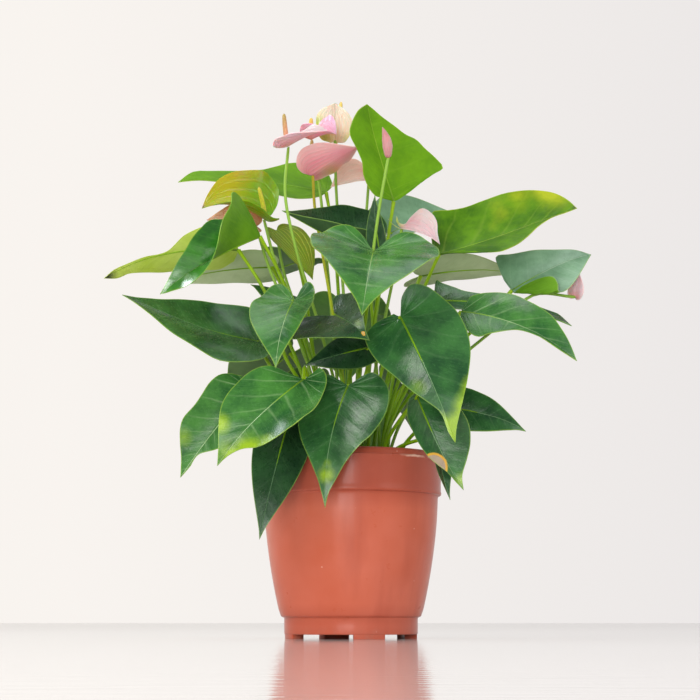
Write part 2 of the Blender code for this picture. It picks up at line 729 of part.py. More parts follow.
def stem_line(foot, end, arrive, via=()):
    """A stem's middle line: upright out of the soil, then bending smoothly to its end."""
    start = np.array((foot[0], foot[1], SOIL_TOP + STEM_STRAIGHT))
    knots = [start] + [place(p) for p in via] + [end]
    slopes = []
    for k, knot in enumerate(knots):
        if k == 0:
            slope = np.array((0.0, 0.0, STEM_RISE)) * np.linalg.norm(knots[1] - knot)
        elif k == len(knots) - 1:
            slope = STEM_PULL * arrive * min(np.linalg.norm(knot - knots[k - 1]), PULL_REACH)
        else:
            slope = 0.5 * (knots[k + 1] - knots[k - 1])
        slopes.append(slope)
    fine = []
    for k in range(len(knots) - 1):
        for t in np.linspace(0.0, 1.0, KNOT_SPANS, endpoint=(k == len(knots) - 2)):
            fine.append((2 * t ** 3 - 3 * t ** 2 + 1) * knots[k] + (t ** 3 - 2 * t ** 2 + t) * slopes[k]
                        + (3 * t ** 2 - 2 * t ** 3) * knots[k + 1] + (t ** 3 - t ** 2) * slopes[k + 1])
    upper = evenly(np.array(fine), STEM_SPANS)
    root = np.array((foot[0], foot[1], SOIL_TOP - HOLE_DEPTH + SOIL_GAP))
    return np.vstack((root, upper))


@dataclass
class Stem:
    """One stem: where it stands, where it ends and the way it comes in there."""

    foot: np.ndarray
    end: np.ndarray
    arrive: np.ndarray
    via: tuple
    radius: float
    fixed: bool = False
    line: np.ndarray = None


def natural_foot(end, outward):
    """Where a stem leaves the soil: on the side that it leans to, lower stems further out."""
    lowness = min(max((TALL_STEM - end[2]) / HEIGHT_SPREAD, 0.0), 1.0)
    reach = FOOT_NEAR + FOOT_SPREAD * lowness * min(1.0, np.linalg.norm(outward) / LEAN_REACH)
    direction = outward / max(np.linalg.norm(outward), 1e-6)
    return direction * reach


def spread_feet(stems):
    """Move the feet apart on the soil until each has room."""
    feet = np.array([stem.foot for stem in stems])
    free = np.array([[0.0 if stem.fixed else 1.0] for stem in stems])
    for _ in range(FOOT_ROUNDS):
        apart = feet[:, None, :] - feet[None, :, :]
        distance = np.linalg.norm(apart, axis=2) + np.eye(len(feet)) * 1000.0
        lack = np.clip(FOOT_SPACING - distance, 0.0, None)
        push = (apart / distance[:, :, None]) * lack[:, :, None] * FOOT_PUSH
        feet = feet + push.sum(axis=1) * free
        reach = np.linalg.norm(feet, axis=1, keepdims=True)
        feet = np.where(reach > FOOT_REACH, feet * FOOT_REACH / reach, feet)
    for stem, foot in zip(stems, feet):
        stem.foot = foot


def closest_points(p, q, r, s):
    """Where each segment p-q comes nearest to each segment r-s, as shares of both."""
    d1, d2, w = q - p, s - r, p - r
    a = (d1 * d1).sum(-1)
    e = (d2 * d2).sum(-1)
    f = (d2 * w).sum(-1)
    c = (d1 * w).sum(-1)
    b = (d1 * d2).sum(-1)
    denominator = a * e - b * b
    along = np.clip((b * f - c * e) / np.where(denominator < 1e-9, 1.0, denominator), 0.0, 1.0)
    other = np.clip((b * along + f) / e, 0.0, 1.0)
    along = np.clip((b * other - c) / a, 0.0, 1.0)
    return along, other


def clear_stems(stems):
    """Bend stems away from each other where they would touch, with both ends held."""
    lines = np.array([stem.line for stem in stems])
    radii = np.array([stem.radius for stem in stems])
    count, knots = lines.shape[:2]
    pairs = [(i, j) for i in range(count) for j in range(i + 1, count)]
    first = np.array([i for i, _ in pairs])
    second = np.array([j for _, j in pairs])
    room = (radii[first] + radii[second] + STEM_CLEARANCE)[:, None, None]
    held = np.ones((1, knots, 1))
    held[0, :2] = 0.0
    held[0, -1] = 0.0
    held[0, -2] = NEAR_END_HOLD
    for _ in range(CLEAR_ROUNDS):
        p, q = lines[first][:, :-1, None], lines[first][:, 1:, None]
        r, s = lines[second][:, None, :-1], lines[second][:, None, 1:]
        along, other = closest_points(p, q, r, s)
        apart = (p + (q - p) * along[..., None]) - (r + (s - r) * other[..., None])
        distance = np.linalg.norm(apart, axis=-1)
        lack = np.clip(room - distance, 0.0, None)
        if lack.max() < CLEAR_ENOUGH:
            break
        push = apart / np.maximum(distance, 0.05)[..., None] * lack[..., None] * CLEAR_PUSH
        moves = np.zeros_like(lines)
        for own, share, sign, axis in ((first, along, 1.0, 2), (second, other, -1.0, 1)):
            near = (push * (1.0 - share)[..., None]).sum(axis=axis) * sign
            far = (push * share[..., None]).sum(axis=axis) * sign
            np.add.at(moves, (own[:, None], np.arange(knots - 1)[None, :]), near)
            np.add.at(moves, (own[:, None], np.arange(1, knots)[None, :]), far)
        lines = lines + np.clip(moves, -CLEAR_STEP, CLEAR_STEP) * held
    for stem, line in zip(stems, lines):
        stem.line = line


def leaf_stem(form):
    """The stalk of a leaf comes in from behind and below its base."""
    blade = form.blade
    facing, onward, upright = LEAF_ARRIVAL
    arrive = unit(form.normal * facing + form.along * onward + np.array((0.0, 0.0, upright)))
    end = form.base - form.normal * 0.2
    outward = end[:2] * 0.6 + form.along[:2] * 25.0
    foot = np.array(blade.foot, float) if blade.foot else natural_foot(end, outward)
    return Stem(foot, end, arrive, blade.via, PETIOLE_RADIUS, bool(blade.foot))


def bloom_stem(bloom):
    if bloom.bud:
        base, tip = seen(*bloom.bud[0]), seen(*bloom.bud[1])
        arrive = unit(tip - base)
        end = base - arrive * PIECE_GAP
    elif bloom.bract.turned:
        form = BladeForm(bloom.bract)
        facing, onward = BRACT_ARRIVAL
        arrive = unit(form.along * onward + form.normal * facing)
        lean = math.acos(float(np.dot(arrive, form.normal)))
        drop = 0.5 * SPATHE_THICKNESS + PIECE_GAP + STALK_RADIUS * math.sin(lean)
        end = form.base - arrive * drop / math.cos(lean)
    else:
        form = BladeForm(bloom.bract)
        arrive = form.normal
        drop = 0.5 * SPATHE_THICKNESS + PIECE_GAP + STALK_RADIUS * math.tan(form.steepness(-1.0))
        end = form.base - arrive * drop
    foot = np.array(bloom.foot, float) if bloom.foot else natural_foot(end, end[:2] * 0.7)
    return Stem(foot, end, arrive, bloom.via, STALK_RADIUS, bool(bloom.foot))


def crown_blades(rows, name):
    """A crown's leaves, each turned round the axis to its bearing."""
    blades = []
    for bearing, base_reach, base_height, tip_reach, tip_height, width, roll in rows:
        angle = math.radians(bearing)
        out = np.array((math.sin(angle), -math.cos(angle), 0.0))
        side = np.array((math.cos(angle), math.sin(angle), 0.0))
        base = out * base_reach + np.array((0.0, 0.0, base_height))
        tip = out * tip_reach + np.array((0.0, 0.0, tip_height))
        along = unit(tip - base)
        upper = np.cross(along, side)
        upper = upper if upper[2] > 0.0 else -upper
        points = []
        for sign in (-1.0, 1.0):
            rise = math.tan(math.radians(CROWN_BLADE_RISE + sign * roll))
            points.append(base + sign * side * width + upper * width * rise)
        blades.append(Blade(name, base, tip, points[0], points[1]))
    return blades


def crown_stem(form, foot):
    """A leaf stalk that starts on its crown, on the side that it leans to."""
    stem = leaf_stem(form)
    lean = unit(stem.end[:2] - foot)
    stem.foot = foot + lean * 0.5 * CROWN_RADIUS
    stem.fixed = True
    return stem


def pot_profile():
    """The pot's wall as a closed loop of radius and height, outside first."""
    rim, band = POT_RIM_RADIUS, POT_BAND_RADIUS
    outside = [
        (FOOT_INNER_RADIUS, 0.0), (band - 1.0, 0.0), (band, 1.2), (band, 18.2), (60.8, 19.4),
        (63.3, 24.0), (67.9, 46.0), (72.3, 72.0), (75.5, 99.0), (76.9, 122.5), (79.2, 124.5),
        (rim - 0.4, 128.0), (rim, 154.5), (rim - 1.6, 160.0),
    ]
    floor = FOOT_HEIGHT + BASE_THICKNESS
    inside = [(rim - 4.0, POT_HEIGHT)] + [(r, floor + rise) for r, rise in reversed(INNER_WALL)]
    inside += [(DRAIN_RADIUS, floor), (DRAIN_RADIUS, FOOT_HEIGHT), (FOOT_INNER_RADIUS, FOOT_HEIGHT)]
    return outside + inside


def turned(name, profile, sides, colour, roughness):
    """A ring-shaped body: a closed profile turned about the axis."""
    corners = []
    for k in range(sides):
        angle = 2.0 * math.pi * (k + 0.5) / sides
        corners += [(r * math.sin(angle), -r * math.cos(angle), z) for r, z in profile]
    count = len(profile)
    faces = []
    for k in range(sides):
        here, after = k * count, ((k + 1) % sides) * count
        for i in range(count):
            j = (i + 1) % count
            faces.append((here + i, here + j, after + j, after + i))
    item = new_object(name, corners, faces, colour, roughness)
    outward_faces(item)
    return item


def wedge(name, start, stop, inner, outer, low, high):
    """A block between two bearings, for the gaps between the feet."""
    spans = 8
    corners = []
    for k in range(spans + 1):
        angle = start + (stop - start) * k / spans
        for radius, z in ((inner, low), (outer, low), (outer, high), (inner, high)):
            corners.append((radius * math.sin(angle), -radius * math.cos(angle), z))
    faces = [(0, 1, 2, 3), tuple(spans * 4 + i for i in (3, 2, 1, 0))]
    for k in range(spans):
        for i in range(4):
            j = (i + 1) % 4
            faces.append((k * 4 + i, k * 4 + j, k * 4 + 4 + j, k * 4 + 4 + i))
    item = new_object(name, corners, faces, TERRACOTTA, POT_ROUGHNESS)
    outward_faces(item)
    return item


def make_pot():
    pot = turned("pot", pot_profile(), POT_SIDES, TERRACOTTA, POT_ROUGHNESS)
    gaps = []
    pitch = 2.0 * math.pi / FOOT_COUNT
    for k in range(FOOT_COUNT):
        start = FOOT_START + k * pitch + 0.5 * FOOT_ARC
        stop = FOOT_START + (k + 1) * pitch - 0.5 * FOOT_ARC
        gaps.append(wedge("gap", start, stop, FOOT_INNER_RADIUS - 6.0, POT_BAND_RADIUS + 8.0,
                          -5.0, FOOT_HEIGHT))
    return combined(pot, gaps, "DIFFERENCE")


def soil_height(x, y):
    """Lumpy surface, a little higher in the middle."""
    lumps = math.sin(0.31 * x + 1.3) * math.cos(0.27 * y - 0.6) + math.sin(0.53 * x - 0.41 * y)
    crown = 1.5 * (1.0 - (x * x + y * y) / POT_RIM_RADIUS ** 2)
    return SOIL_TOP + crown + SOIL_LUMP * 0.5 * lumps


def make_soil(stems, crown_feet):
    """Soil that fills the pot, 0.3 mm clear of its wall, with a plain hole for each stem."""
    floor = FOOT_HEIGHT + BASE_THICKNESS
    flat = math.cos(math.pi / POT_SIDES)
    levels = [(r * flat - SOIL_GAP, floor + rise) for r, rise in INNER_WALL]
    levels[0] = (levels[0][0], floor + SOIL_GAP)
    top_radius = np.interp(SOIL_EDGE, [z for _, z in levels], [r for r, _ in levels])
    levels.pop()
    corners = []
    for radius, z in levels:
        for k in range(SOIL_SECTORS):
            angle = 2.0 * math.pi * k / SOIL_SECTORS
            corners.append((radius * math.sin(angle), -radius * math.cos(angle), z))
    for ring in range(SOIL_RINGS, 0, -1):
        radius = top_radius * ring / SOIL_RINGS
        for k in range(SOIL_SECTORS):
            angle = 2.0 * math.pi * k / SOIL_SECTORS
            x, y = radius * math.sin(angle), -radius * math.cos(angle)
            corners.append((x, y, soil_height(x, y)))
    rings = len(levels) + SOIL_RINGS
    faces = []
    for ring in range(rings - 1):
        for k in range(SOIL_SECTORS):
            after = (k + 1) % SOIL_SECTORS
            low, high = ring * SOIL_SECTORS, (ring + 1) * SOIL_SECTORS
            faces.append((low + k, low + after, high + after))
            faces.append((low + k, high + after, high + k))
    centre = len(corners)
    corners.append((0.0, 0.0, soil_height(0.0, 0.0)))
    last = (rings - 1) * SOIL_SECTORS
    for k in range(SOIL_SECTORS):
        faces.append((last + k, last + (k + 1) % SOIL_SECTORS, centre))
    faces.append(tuple(range(SOIL_SECTORS))[::-1])
    soil = new_object("soil", corners, faces, PEAT, SOIL_ROUGHNESS)
    outward_faces(soil)
    holes = []
    for stem in stems:
        foot = stem.foot
        line = [(foot[0], foot[1], SOIL_TOP - HOLE_DEPTH), (foot[0], foot[1], SOIL_TOP + CUT_ABOVE)]
        radius = stem.radius + HOLE_PLAY
        holes.append(tube_object("hole", line, (radius, radius), HOLE_SIDES, PEAT))
    for foot in crown_feet:
        line = [(foot[0], foot[1], SOIL_TOP - HOLE_DEPTH), (foot[0], foot[1], SOIL_TOP + CUT_ABOVE)]
        radius = CROWN_RADIUS + HOLE_PLAY
        holes.append(tube_object("hole", line, (radius, radius), CROWN_HOLE_SIDES, PEAT))
    return combined(soil, holes, "DIFFERENCE")


def make_leaf(form, stem):
    colour = GREEN_FRESH if form.blade.fresh else GREEN_DARK
    name = form.blade.name
    outlines = form.outlines(HEART, name)
    blade = blade_object(name, form, outlines, LEAF_RIBS, LEAF_STEPS, BLADE_THICKNESS, colour)
    radii = [stem.radius] * (len(stem.line) - 1) + [stem.radius * STALK_TAPER]
    stalk = tube_object("stalk", stem.line, radii, STEM_SIDES, GREEN_STEM)
    return combined(blade, [stalk], "UNION")


def make_crown(name, foot, forms, stems):
    """Leaves whose stalks part from one short thick stem, joined in one body."""
    parts = []
    for form, stem in zip(forms, stems):
        parts.append(blade_object(name, form, (HEART, HEART), CROWN_RIBS, LEAF_STEPS, BLADE_THICKNESS,
                                  GREEN_DARK))
        radii = [stem.radius] * (len(stem.line) - 1) + [stem.radius * STALK_TAPER]
        line = np.vstack(([stem.foot[0], stem.foot[1], SOIL_TOP - CROWN_ROOT], stem.line[1:]))
        parts.append(tube_object("stalk", line, radii, STEM_SIDES, GREEN_STEM))
    low, high = SOIL_TOP - HOLE_DEPTH + SOIL_GAP, SOIL_TOP + CROWN_HEIGHT
    line = [(foot[0], foot[1], z) for z in (low, SOIL_TOP + CROWN_SHOULDER, high)]
    radii = (CROWN_RADIUS, CROWN_RADIUS, CROWN_TAPER * CROWN_RADIUS)
    parts.append(tube_object("crown", line, radii, CROWN_SIDES, GREEN_STEM))
    return combined(parts[0], parts[1:], "UNION")


def make_bloom(bloom, stem):
    tube_object(bloom.name + "_stalk", stem.line, [stem.radius] * len(stem.line), STEM_SIDES,
                GREEN_STEM, stem.arrive)
    if bloom.bud:
        base, tip = seen(*bloom.bud[0]), seen(*bloom.bud[1])
        line = [base + (tip - base) * t for t, _ in BUD_PROFILE]
        radii = [bloom.bud[2] * share for _, share in BUD_PROFILE]
        tube_object(bloom.name + "_bud", line, radii, BUD_SIDES, bloom.bract_colour)
        return
    form = BladeForm(bloom.bract)
    outlines = form.outlines(BRACT, bloom.name)
    blade_object(bloom.name + "_spathe", form, outlines, SPATHE_RIBS, SPATHE_STEPS, SPATHE_THICKNESS,
                 bloom.bract_colour)
    if bloom.spike:
        length, lean = bloom.spike
        radius = bloom.spike_radius
        lean_side = 0.8 if bloom.bract.turned else 1.0
        way = unit(form.normal * (1.0 - lean) + form.along * lean
                   + form.across * bloom.spike_aside)
        slant = math.sqrt(1.0 - float(np.dot(way, form.normal)) ** 2)
        rise = radius * (lean_side * slant + 1.1 * math.tan(form.steepness(1.0)))
        start = form.base + form.normal * (0.5 * SPATHE_THICKNESS + PIECE_GAP + rise)
        line = [start + way * length * t + form.along * SPIKE_BOW * length * t * t
                for t, _ in SPIKE_PROFILE]
        radii = [radius * share for _, share in SPIKE_PROFILE]
        tube_object(bloom.name + "_spadix", line, radii, SPIKE_SIDES, bloom.spike_colour)


def main():
    for item in list(bpy.data.objects):
        bpy.data.objects.remove(item)
    forms = [BladeForm(blade) for blade in LEAVES]
    stems = [leaf_stem(form) for form in forms]
    crown_forms = [[BladeForm(blade) for blade in crown_blades(rows, name)] for name, _, rows in CROWNS]
    crown_feet = [np.array(foot) for _, foot, _ in CROWNS]
    crown_stems = [[crown_stem(form, foot) for form in group]
                   for group, foot in zip(crown_forms, crown_feet)]
    bloom_stems = [bloom_stem(bloom) for bloom in BLOOMS]
    single = stems + bloom_stems
    crowned = [stem for group in crown_stems for stem in group]
    spread_feet(single + crowned)
    for stem in single + crowned:
        stem.line = stem_line(stem.foot, stem.end, stem.arrive, stem.via)
    clear_stems(single + crowned)
    make_pot()
    make_soil(single, crown_feet)
    for form, stem in zip(forms, stems):
        make_leaf(form, stem)
    for (name, foot, _), group, group_stems in zip(CROWNS, crown_forms, crown_stems):
        make_crown(name, foot, group, group_stems)
    for bloom, stem in zip(BLOOMS, bloom_stems):
        make_bloom(bloom, stem)


main()
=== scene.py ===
"""Potted anthurium: the finished look of the pot, its soil, leaves and blooms.

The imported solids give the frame. Each leaf, stalk, spathe, spadix, the soil and the pot gets a
finer piece here that keeps the solid's form, with veins, margins, stains and surface grain.
Places on the plant are given in millimetres as a person in front of it reads them: how far
across, how far up, and how deep behind the pot's axis.
"""

import logging
import random
from dataclasses import dataclass, field
from enum import Enum
from functools import cache
from math import acos, asin, atan2, cos, degrees, exp, hypot, pi, radians, sin, sqrt, tan
from typing import Any, Callable, Optional, Sequence

import bmesh
import bpy
import numpy as np
from mathutils import Euler, Matrix, Vector
from mathutils import noise as ground_noise
from numpy.linalg import norm


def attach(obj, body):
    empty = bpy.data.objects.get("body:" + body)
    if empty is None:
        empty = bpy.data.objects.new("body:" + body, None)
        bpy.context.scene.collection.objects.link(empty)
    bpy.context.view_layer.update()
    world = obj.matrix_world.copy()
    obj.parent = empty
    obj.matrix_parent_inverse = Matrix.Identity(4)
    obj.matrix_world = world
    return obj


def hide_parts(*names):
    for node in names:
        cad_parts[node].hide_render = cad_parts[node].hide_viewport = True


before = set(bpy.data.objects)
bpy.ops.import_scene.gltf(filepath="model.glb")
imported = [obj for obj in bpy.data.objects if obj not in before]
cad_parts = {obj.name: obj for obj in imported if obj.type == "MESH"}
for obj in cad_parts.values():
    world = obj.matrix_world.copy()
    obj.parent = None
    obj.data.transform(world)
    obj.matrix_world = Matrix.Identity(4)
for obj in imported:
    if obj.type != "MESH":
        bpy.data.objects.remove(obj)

log = logging.getLogger("anthurium")

MM = 0.001
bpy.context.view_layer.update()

Colour = tuple[float, float, float]
Place = tuple[float, float, float]
Outline = tuple[tuple[float, float], ...]
Spot = tuple[float, float, float, float]
Values = Optional[dict[Any, Any]]
Array = np.ndarray
Item = bpy.types.Object
Material = bpy.types.Material

# Eye that the places across, up and deep are read from
EYE_DISTANCE = 1560.0
EYE_HEIGHT = 16.5
EYE_PITCH = radians(8.71)
SIGHT_REACH = 1564.4
SIGHT_MIDDLE = 256.0
FOCAL_PIXELS = 1760.0
FRAME_PIXELS = 700.0
AXIS_PIXEL = 351.0
SENSOR_WIDTH = 36.0

# Stems
SOIL_TOP = 146.0
SOIL_GAP = 0.3
HOLE_DEPTH = 22.0
STEM_SPANS = 7
STEM_STRAIGHT = 8.0
STEM_CLEARANCE = 0.8
PETIOLE_RADIUS = 1.75
STALK_RADIUS = 1.5
FOOT_SPACING = 8.6
FOOT_REACH = 54.0
FOOT_LEAST = 8.0
FOOT_MOST = 38.0
FULL_LEAN = 60.0
LEAST_LEAN = 1e-6
LOW_STEM = 200.0
HIGH_STEM = 400.0
RISE_PULL = 0.9
ARRIVAL_PULL = 0.55
ARRIVAL_MOST = 110.0
BEND_STEPS = 20
FOOT_SWELLING = 0.28
FOOT_SWELLING_REACH = 26.0
TOP_SWELLING_REACH = 9.0
STEM_TAPER = 0.14
SPREAD_ROUNDS = 400
SPREAD_PUSH = 0.35
CLEAR_ROUNDS = 160
CLEAR_PUSH = 0.4
CLEAR_ENOUGH = 0.02
CLEAR_STEP = 2.0
CROWN_RADIUS = 4.0
CROWN_HEIGHT = 12.0
PIECE_GAP = 0.35
SPATHE_THICKNESS = 0.8

# Half outlines from the sinus to the tip: along the midrib, out from it
HEART = (
    (0.0, 0.0), (-0.09, 0.09), (-0.17, 0.22), (-0.22, 0.45), (-0.16, 0.74), (0.03, 0.95),
    (0.2, 1.0), (0.4, 0.89), (0.6, 0.64), (0.78, 0.34), (0.9, 0.13), (0.97, 0.035), (1.0, 0.0),
)
BRACT = (
    (0.0, 0.0), (-0.05, 0.13), (-0.1, 0.32), (-0.09, 0.6), (0.03, 0.88), (0.22, 1.0),
    (0.42, 0.94), (0.62, 0.7), (0.8, 0.38), (0.91, 0.16), (0.97, 0.05), (1.0, 0.0),
)
OUTLINE_START = 0.075
OUTLINE_STEPS = 400
CURVE_STEPS = 24
RIB_SLANT = 0.25
DROOP_START = 0.6
LOBE_REACH = 0.2
WAVES = 2.2
WAVE_SHIFT = 0.3
FLAT_CURL = 1e-4
STEEPEST = radians(65.0)
STAIN_FADING = 0.7
TRACE_STEPS = 14
TRACE_DAMPING = 0.7
TRACE_LEAST = (-0.3, 0.07)
TRACE_MOST = (0.97, 1.25)
CREASE_RADIUS = 1.6

# Share along a spike or a bud, and share of its radius there
SPIKE_PROFILE = (
    (0.0, 0.55), (0.03, 0.85), (0.08, 0.96), (0.35, 1.0), (0.7, 0.92), (0.9, 0.78), (0.96, 0.6),
    (0.99, 0.38), (1.0, 0.2),
)
BUD_PROFILE = (
    (0.0, 0.34), (0.04, 0.55), (0.12, 0.72), (0.35, 0.95), (0.6, 0.82), (0.85, 0.4), (0.95, 0.16),
    (1.0, 0.06),
)
SEAM = 1e-6
SHARP_ANGLE = 60.0


class Stain(Enum):
    """What a spot on a blade is, and the name of the attribute that carries it."""

    YELLOW = "stain_yellow"
    DEAD = "stain_dead"
    GREEN = "stain_green"
    DARK = "stain_dark"


class LeafLook(Enum):
    """The tone of a leaf."""

    # Leaves deep inside the plant: their dark green with painted shade on both faces.
    DEEP_SHADED = "deep"
    DARK = "dark"
    MIDDLE = "middle"
    FRESH = "fresh"
    MOSS = "moss"
    GLOSSY = "glossy"
    LEMON = "lemon"
    OLIVE = "olive"
    # Blue-grey upper face: green with a painted sheen.
    BLUE = "blue"


class SpatheLook(Enum):
    """The tone of a spathe."""

    PALE = "pale"
    HOT = "hot"
    ROSE = "rose"
    PEACH = "peach"
    SALMON = "salmon"
    HOOD = "hood"
    BROWN = "brown"
    DROOPING = "drooping"
    SMALL = "small"
    CLOSED = "closed"


class SpadixLook(Enum):
    """The tone of a spadix."""

    CORAL = "coral"
    YELLOW = "yellow"
    LEMON = "lemon"


class Wire:
    """A value in a material: a socket whose arithmetic adds Math nodes."""

    def __init__(self, sheet: "NodeSheet", socket: bpy.types.NodeSocket) -> None:
        """Keep the socket and the sheet that new nodes go on."""
        self.sheet = sheet
        self.socket = socket

    def math(self, operation: str, *others: Any, clamp: bool = False) -> "Wire":
        """Add a Math node on this value and further wires or numbers."""
        return self.sheet.math(operation, self, *others, clamp=clamp)

    def __add__(self, other: Any) -> "Wire":
        """The sum."""
        return self.math("ADD", other)

    __radd__ = __add__

    def __sub__(self, other: Any) -> "Wire":
        """The difference."""
        return self.math("SUBTRACT", other)

    def __rsub__(self, other: Any) -> "Wire":
        """The difference, with the wire on the right."""
        return self.sheet.math("SUBTRACT", other, self)

    def __mul__(self, other: Any) -> "Wire":
        """The product."""
        return self.math("MULTIPLY", other)

    __rmul__ = __mul__

    def __truediv__(self, other: Any) -> "Wire":
        """The quotient."""
        return self.math("DIVIDE", other)

    def held(self) -> "Wire":
        """The value held between 0 and 1."""
        return self.math("MULTIPLY", 1.0, clamp=True)

    def rising(self, start: float, stop: float) -> "Wire":
        """A ramp from 0 at start to 1 at stop; start may be the larger."""
        return ((self - start) / (stop - start)).held()


class NodeSheet:
    """The nodes of one material, made by type, settings and socket values."""

    def __init__(self, name: str, world: bool = False) -> None:
        """Start an empty material, or the surroundings.

        Args:
            name: Its name.
            world: Whether it is the surroundings.
        """
        self.material = (bpy.data.worlds if world else bpy.data.materials).new(name)
        self.material.use_nodes = True
        self.tree = self.material.node_tree
        self.tree.nodes.clear()
        self.colour: Optional[Wire] = None

    def node(self, kind: str, settings: Values = None, values: Values = None) -> bpy.types.Node:
        """Add a node.

        Args:
            kind: The node's type.
            settings: Its own settings, set first.
            values: Its sockets' values or links, by name or number.

        Returns:
            The node.
        """
        node = self.tree.nodes.new(kind)
        for key, value in (settings or {}).items():
            setattr(node, key, value)
        for key, value in (values or {}).items():
            self.put(node.inputs[key], value)
        return node

    def wire(self, kind: str, settings: Values = None, values: Values = None,
             output: Any = 0) -> Wire:
        """Add a node and take one of its outputs, by name or number."""
        return Wire(self, self.node(kind, settings, values).outputs[output])

    def put(self, socket: bpy.types.NodeSocket, value: Any) -> None:
        """Give a socket a link or a fixed value.

        Args:
            socket: The input socket.
            value: A wire, a number, a colour or a vector.
        """
        if isinstance(value, Wire):
            self.tree.links.new(value.socket, socket)
        elif isinstance(value, (tuple, list)) and socket.type == "RGBA" and len(value) == 3:
            socket.default_value = (*value, 1.0)
        else:
            socket.default_value = value

    def math(self, operation: str, *operands: Any, clamp: bool = False) -> Wire:
        """Add a Math node on wires or numbers, held between 0 and 1 if clamp is set."""
        settings = {"operation": operation, "use_clamp": clamp}
        return self.wire("ShaderNodeMath", settings, dict(enumerate(operands)))

    def mix(self, share: Any, first: Any, second: Any) -> Wire:
        """Mix two colours; the share is how much of the second."""
        return self.wire("ShaderNodeMix", {"data_type": "RGBA"}, {0: share, 6: first, 7: second}, 2)

    def ground(self, share: Any, first: Any, second: Any) -> None:
        """Start the surface's colour with a mix of two."""
        self.colour = self.mix(share, first, second)

    def lay(self, share: Any, colour: Any) -> None:
        """Lay a share of a colour over the surface's colour so far."""
        self.colour = self.mix(share, self.colour, colour)

    @cache
    def object_place(self) -> Wire:
        """The place on the piece, in metres."""
        return self.wire("ShaderNodeTexCoord", output="Object")

    def split(self, vector: Wire) -> list[Wire]:
        """A vector's three parts."""
        node = self.node("ShaderNodeSeparateXYZ", None, {0: vector})
        return [Wire(self, socket) for socket in node.outputs]

    @cache
    def along_across(self) -> tuple[Wire, Wire]:
        """The piece's own map: share along it, and share across it from 0 to 1."""
        across, along, _ = self.split(self.wire("ShaderNodeUVMap", {"uv_map": "UVMap"}))
        return along, across

    def along_out(self) -> tuple[Wire, Wire]:
        """Share along a blade, and how far out a place is, up to 1 at either margin."""
        along, across = self.along_across()
        return along, ((across - 0.5).math("ABSOLUTE") * 2.0).held()

    def attribute(self, name: str) -> Wire:
        """A number that the mesh carries at each corner."""
        return self.wire("ShaderNodeAttribute", {"attribute_name": name}, output="Fac")

    def vector(self, x: Any, y: Any, z: Any) -> Wire:
        """Join three values to a vector."""
        return self.wire("ShaderNodeCombineXYZ", None, {0: x, 1: y, 2: z})

    def stretched(self, scale: Place) -> Wire:
        """The place on the piece, stretched by a factor along each axis."""
        values = {"Vector": self.object_place(), "Scale": scale}
        return self.wire("ShaderNodeMapping", None, values)

    def noise(self, scale: float, detail: float = 3.0, where: Optional[Wire] = None,
              roughness: float = 0.5) -> Wire:
        """Cloudy noise about 0.5.

        Args:
            scale: Its scale, per metre unless where says otherwise.
            detail: Its octaves.
            where: The place it is read at; the place on the piece if left out.
            roughness: How strong the finer octaves are.

        Returns:
            The noise's value.
        """
        return self.wire("ShaderNodeTexNoise", None, {
            "Vector": where or self.object_place(), "Scale": scale, "Detail": detail,
            "Roughness": roughness,
        })

    def cells(self, scale: float, where: Optional[Wire] = None) -> Wire:
        """Distance from the middle of each cell, per metre unless where says otherwise."""
        values = {"Vector": where or self.object_place(), "Scale": scale}
        return self.wire("ShaderNodeTexVoronoi", None, values, "Distance")

    def relief(self, height: Wire, depth_mm: float) -> Wire:
        """A bumped normal, where a height of 1 stands for a depth in millimetres."""
        values = {"Strength": 1.0, "Distance": depth_mm * MM, "Height": height}
        return self.wire("ShaderNodeBump", None, values)

    def finish(self, **sockets: Any) -> Material:
        """Add the surface shader, with the surface's colour, and the output.

        Args:
            sockets: The shader's other values; an underscore stands for a space.

        Returns:
            The material.
        """
        values = {name.replace("_", " "): value for name, value in sockets.items()}
        values["Base Color"] = self.colour
        shader = self.wire("ShaderNodeBsdfPrincipled", None, values)
        self.node("ShaderNodeOutputMaterial", None, {"Surface": shader})
        return self.material


def by_name(name: str, make: Callable[[], Material]) -> Material:
    """The material of a name, made if there is none yet.

    The solids bring plain materials named stalk and spadix_yellow, which are taken as they are.

    Args:
        name: The material's name.
        make: What makes it.

    Returns:
        The material.
    """
    return bpy.data.materials.get(name) or make()


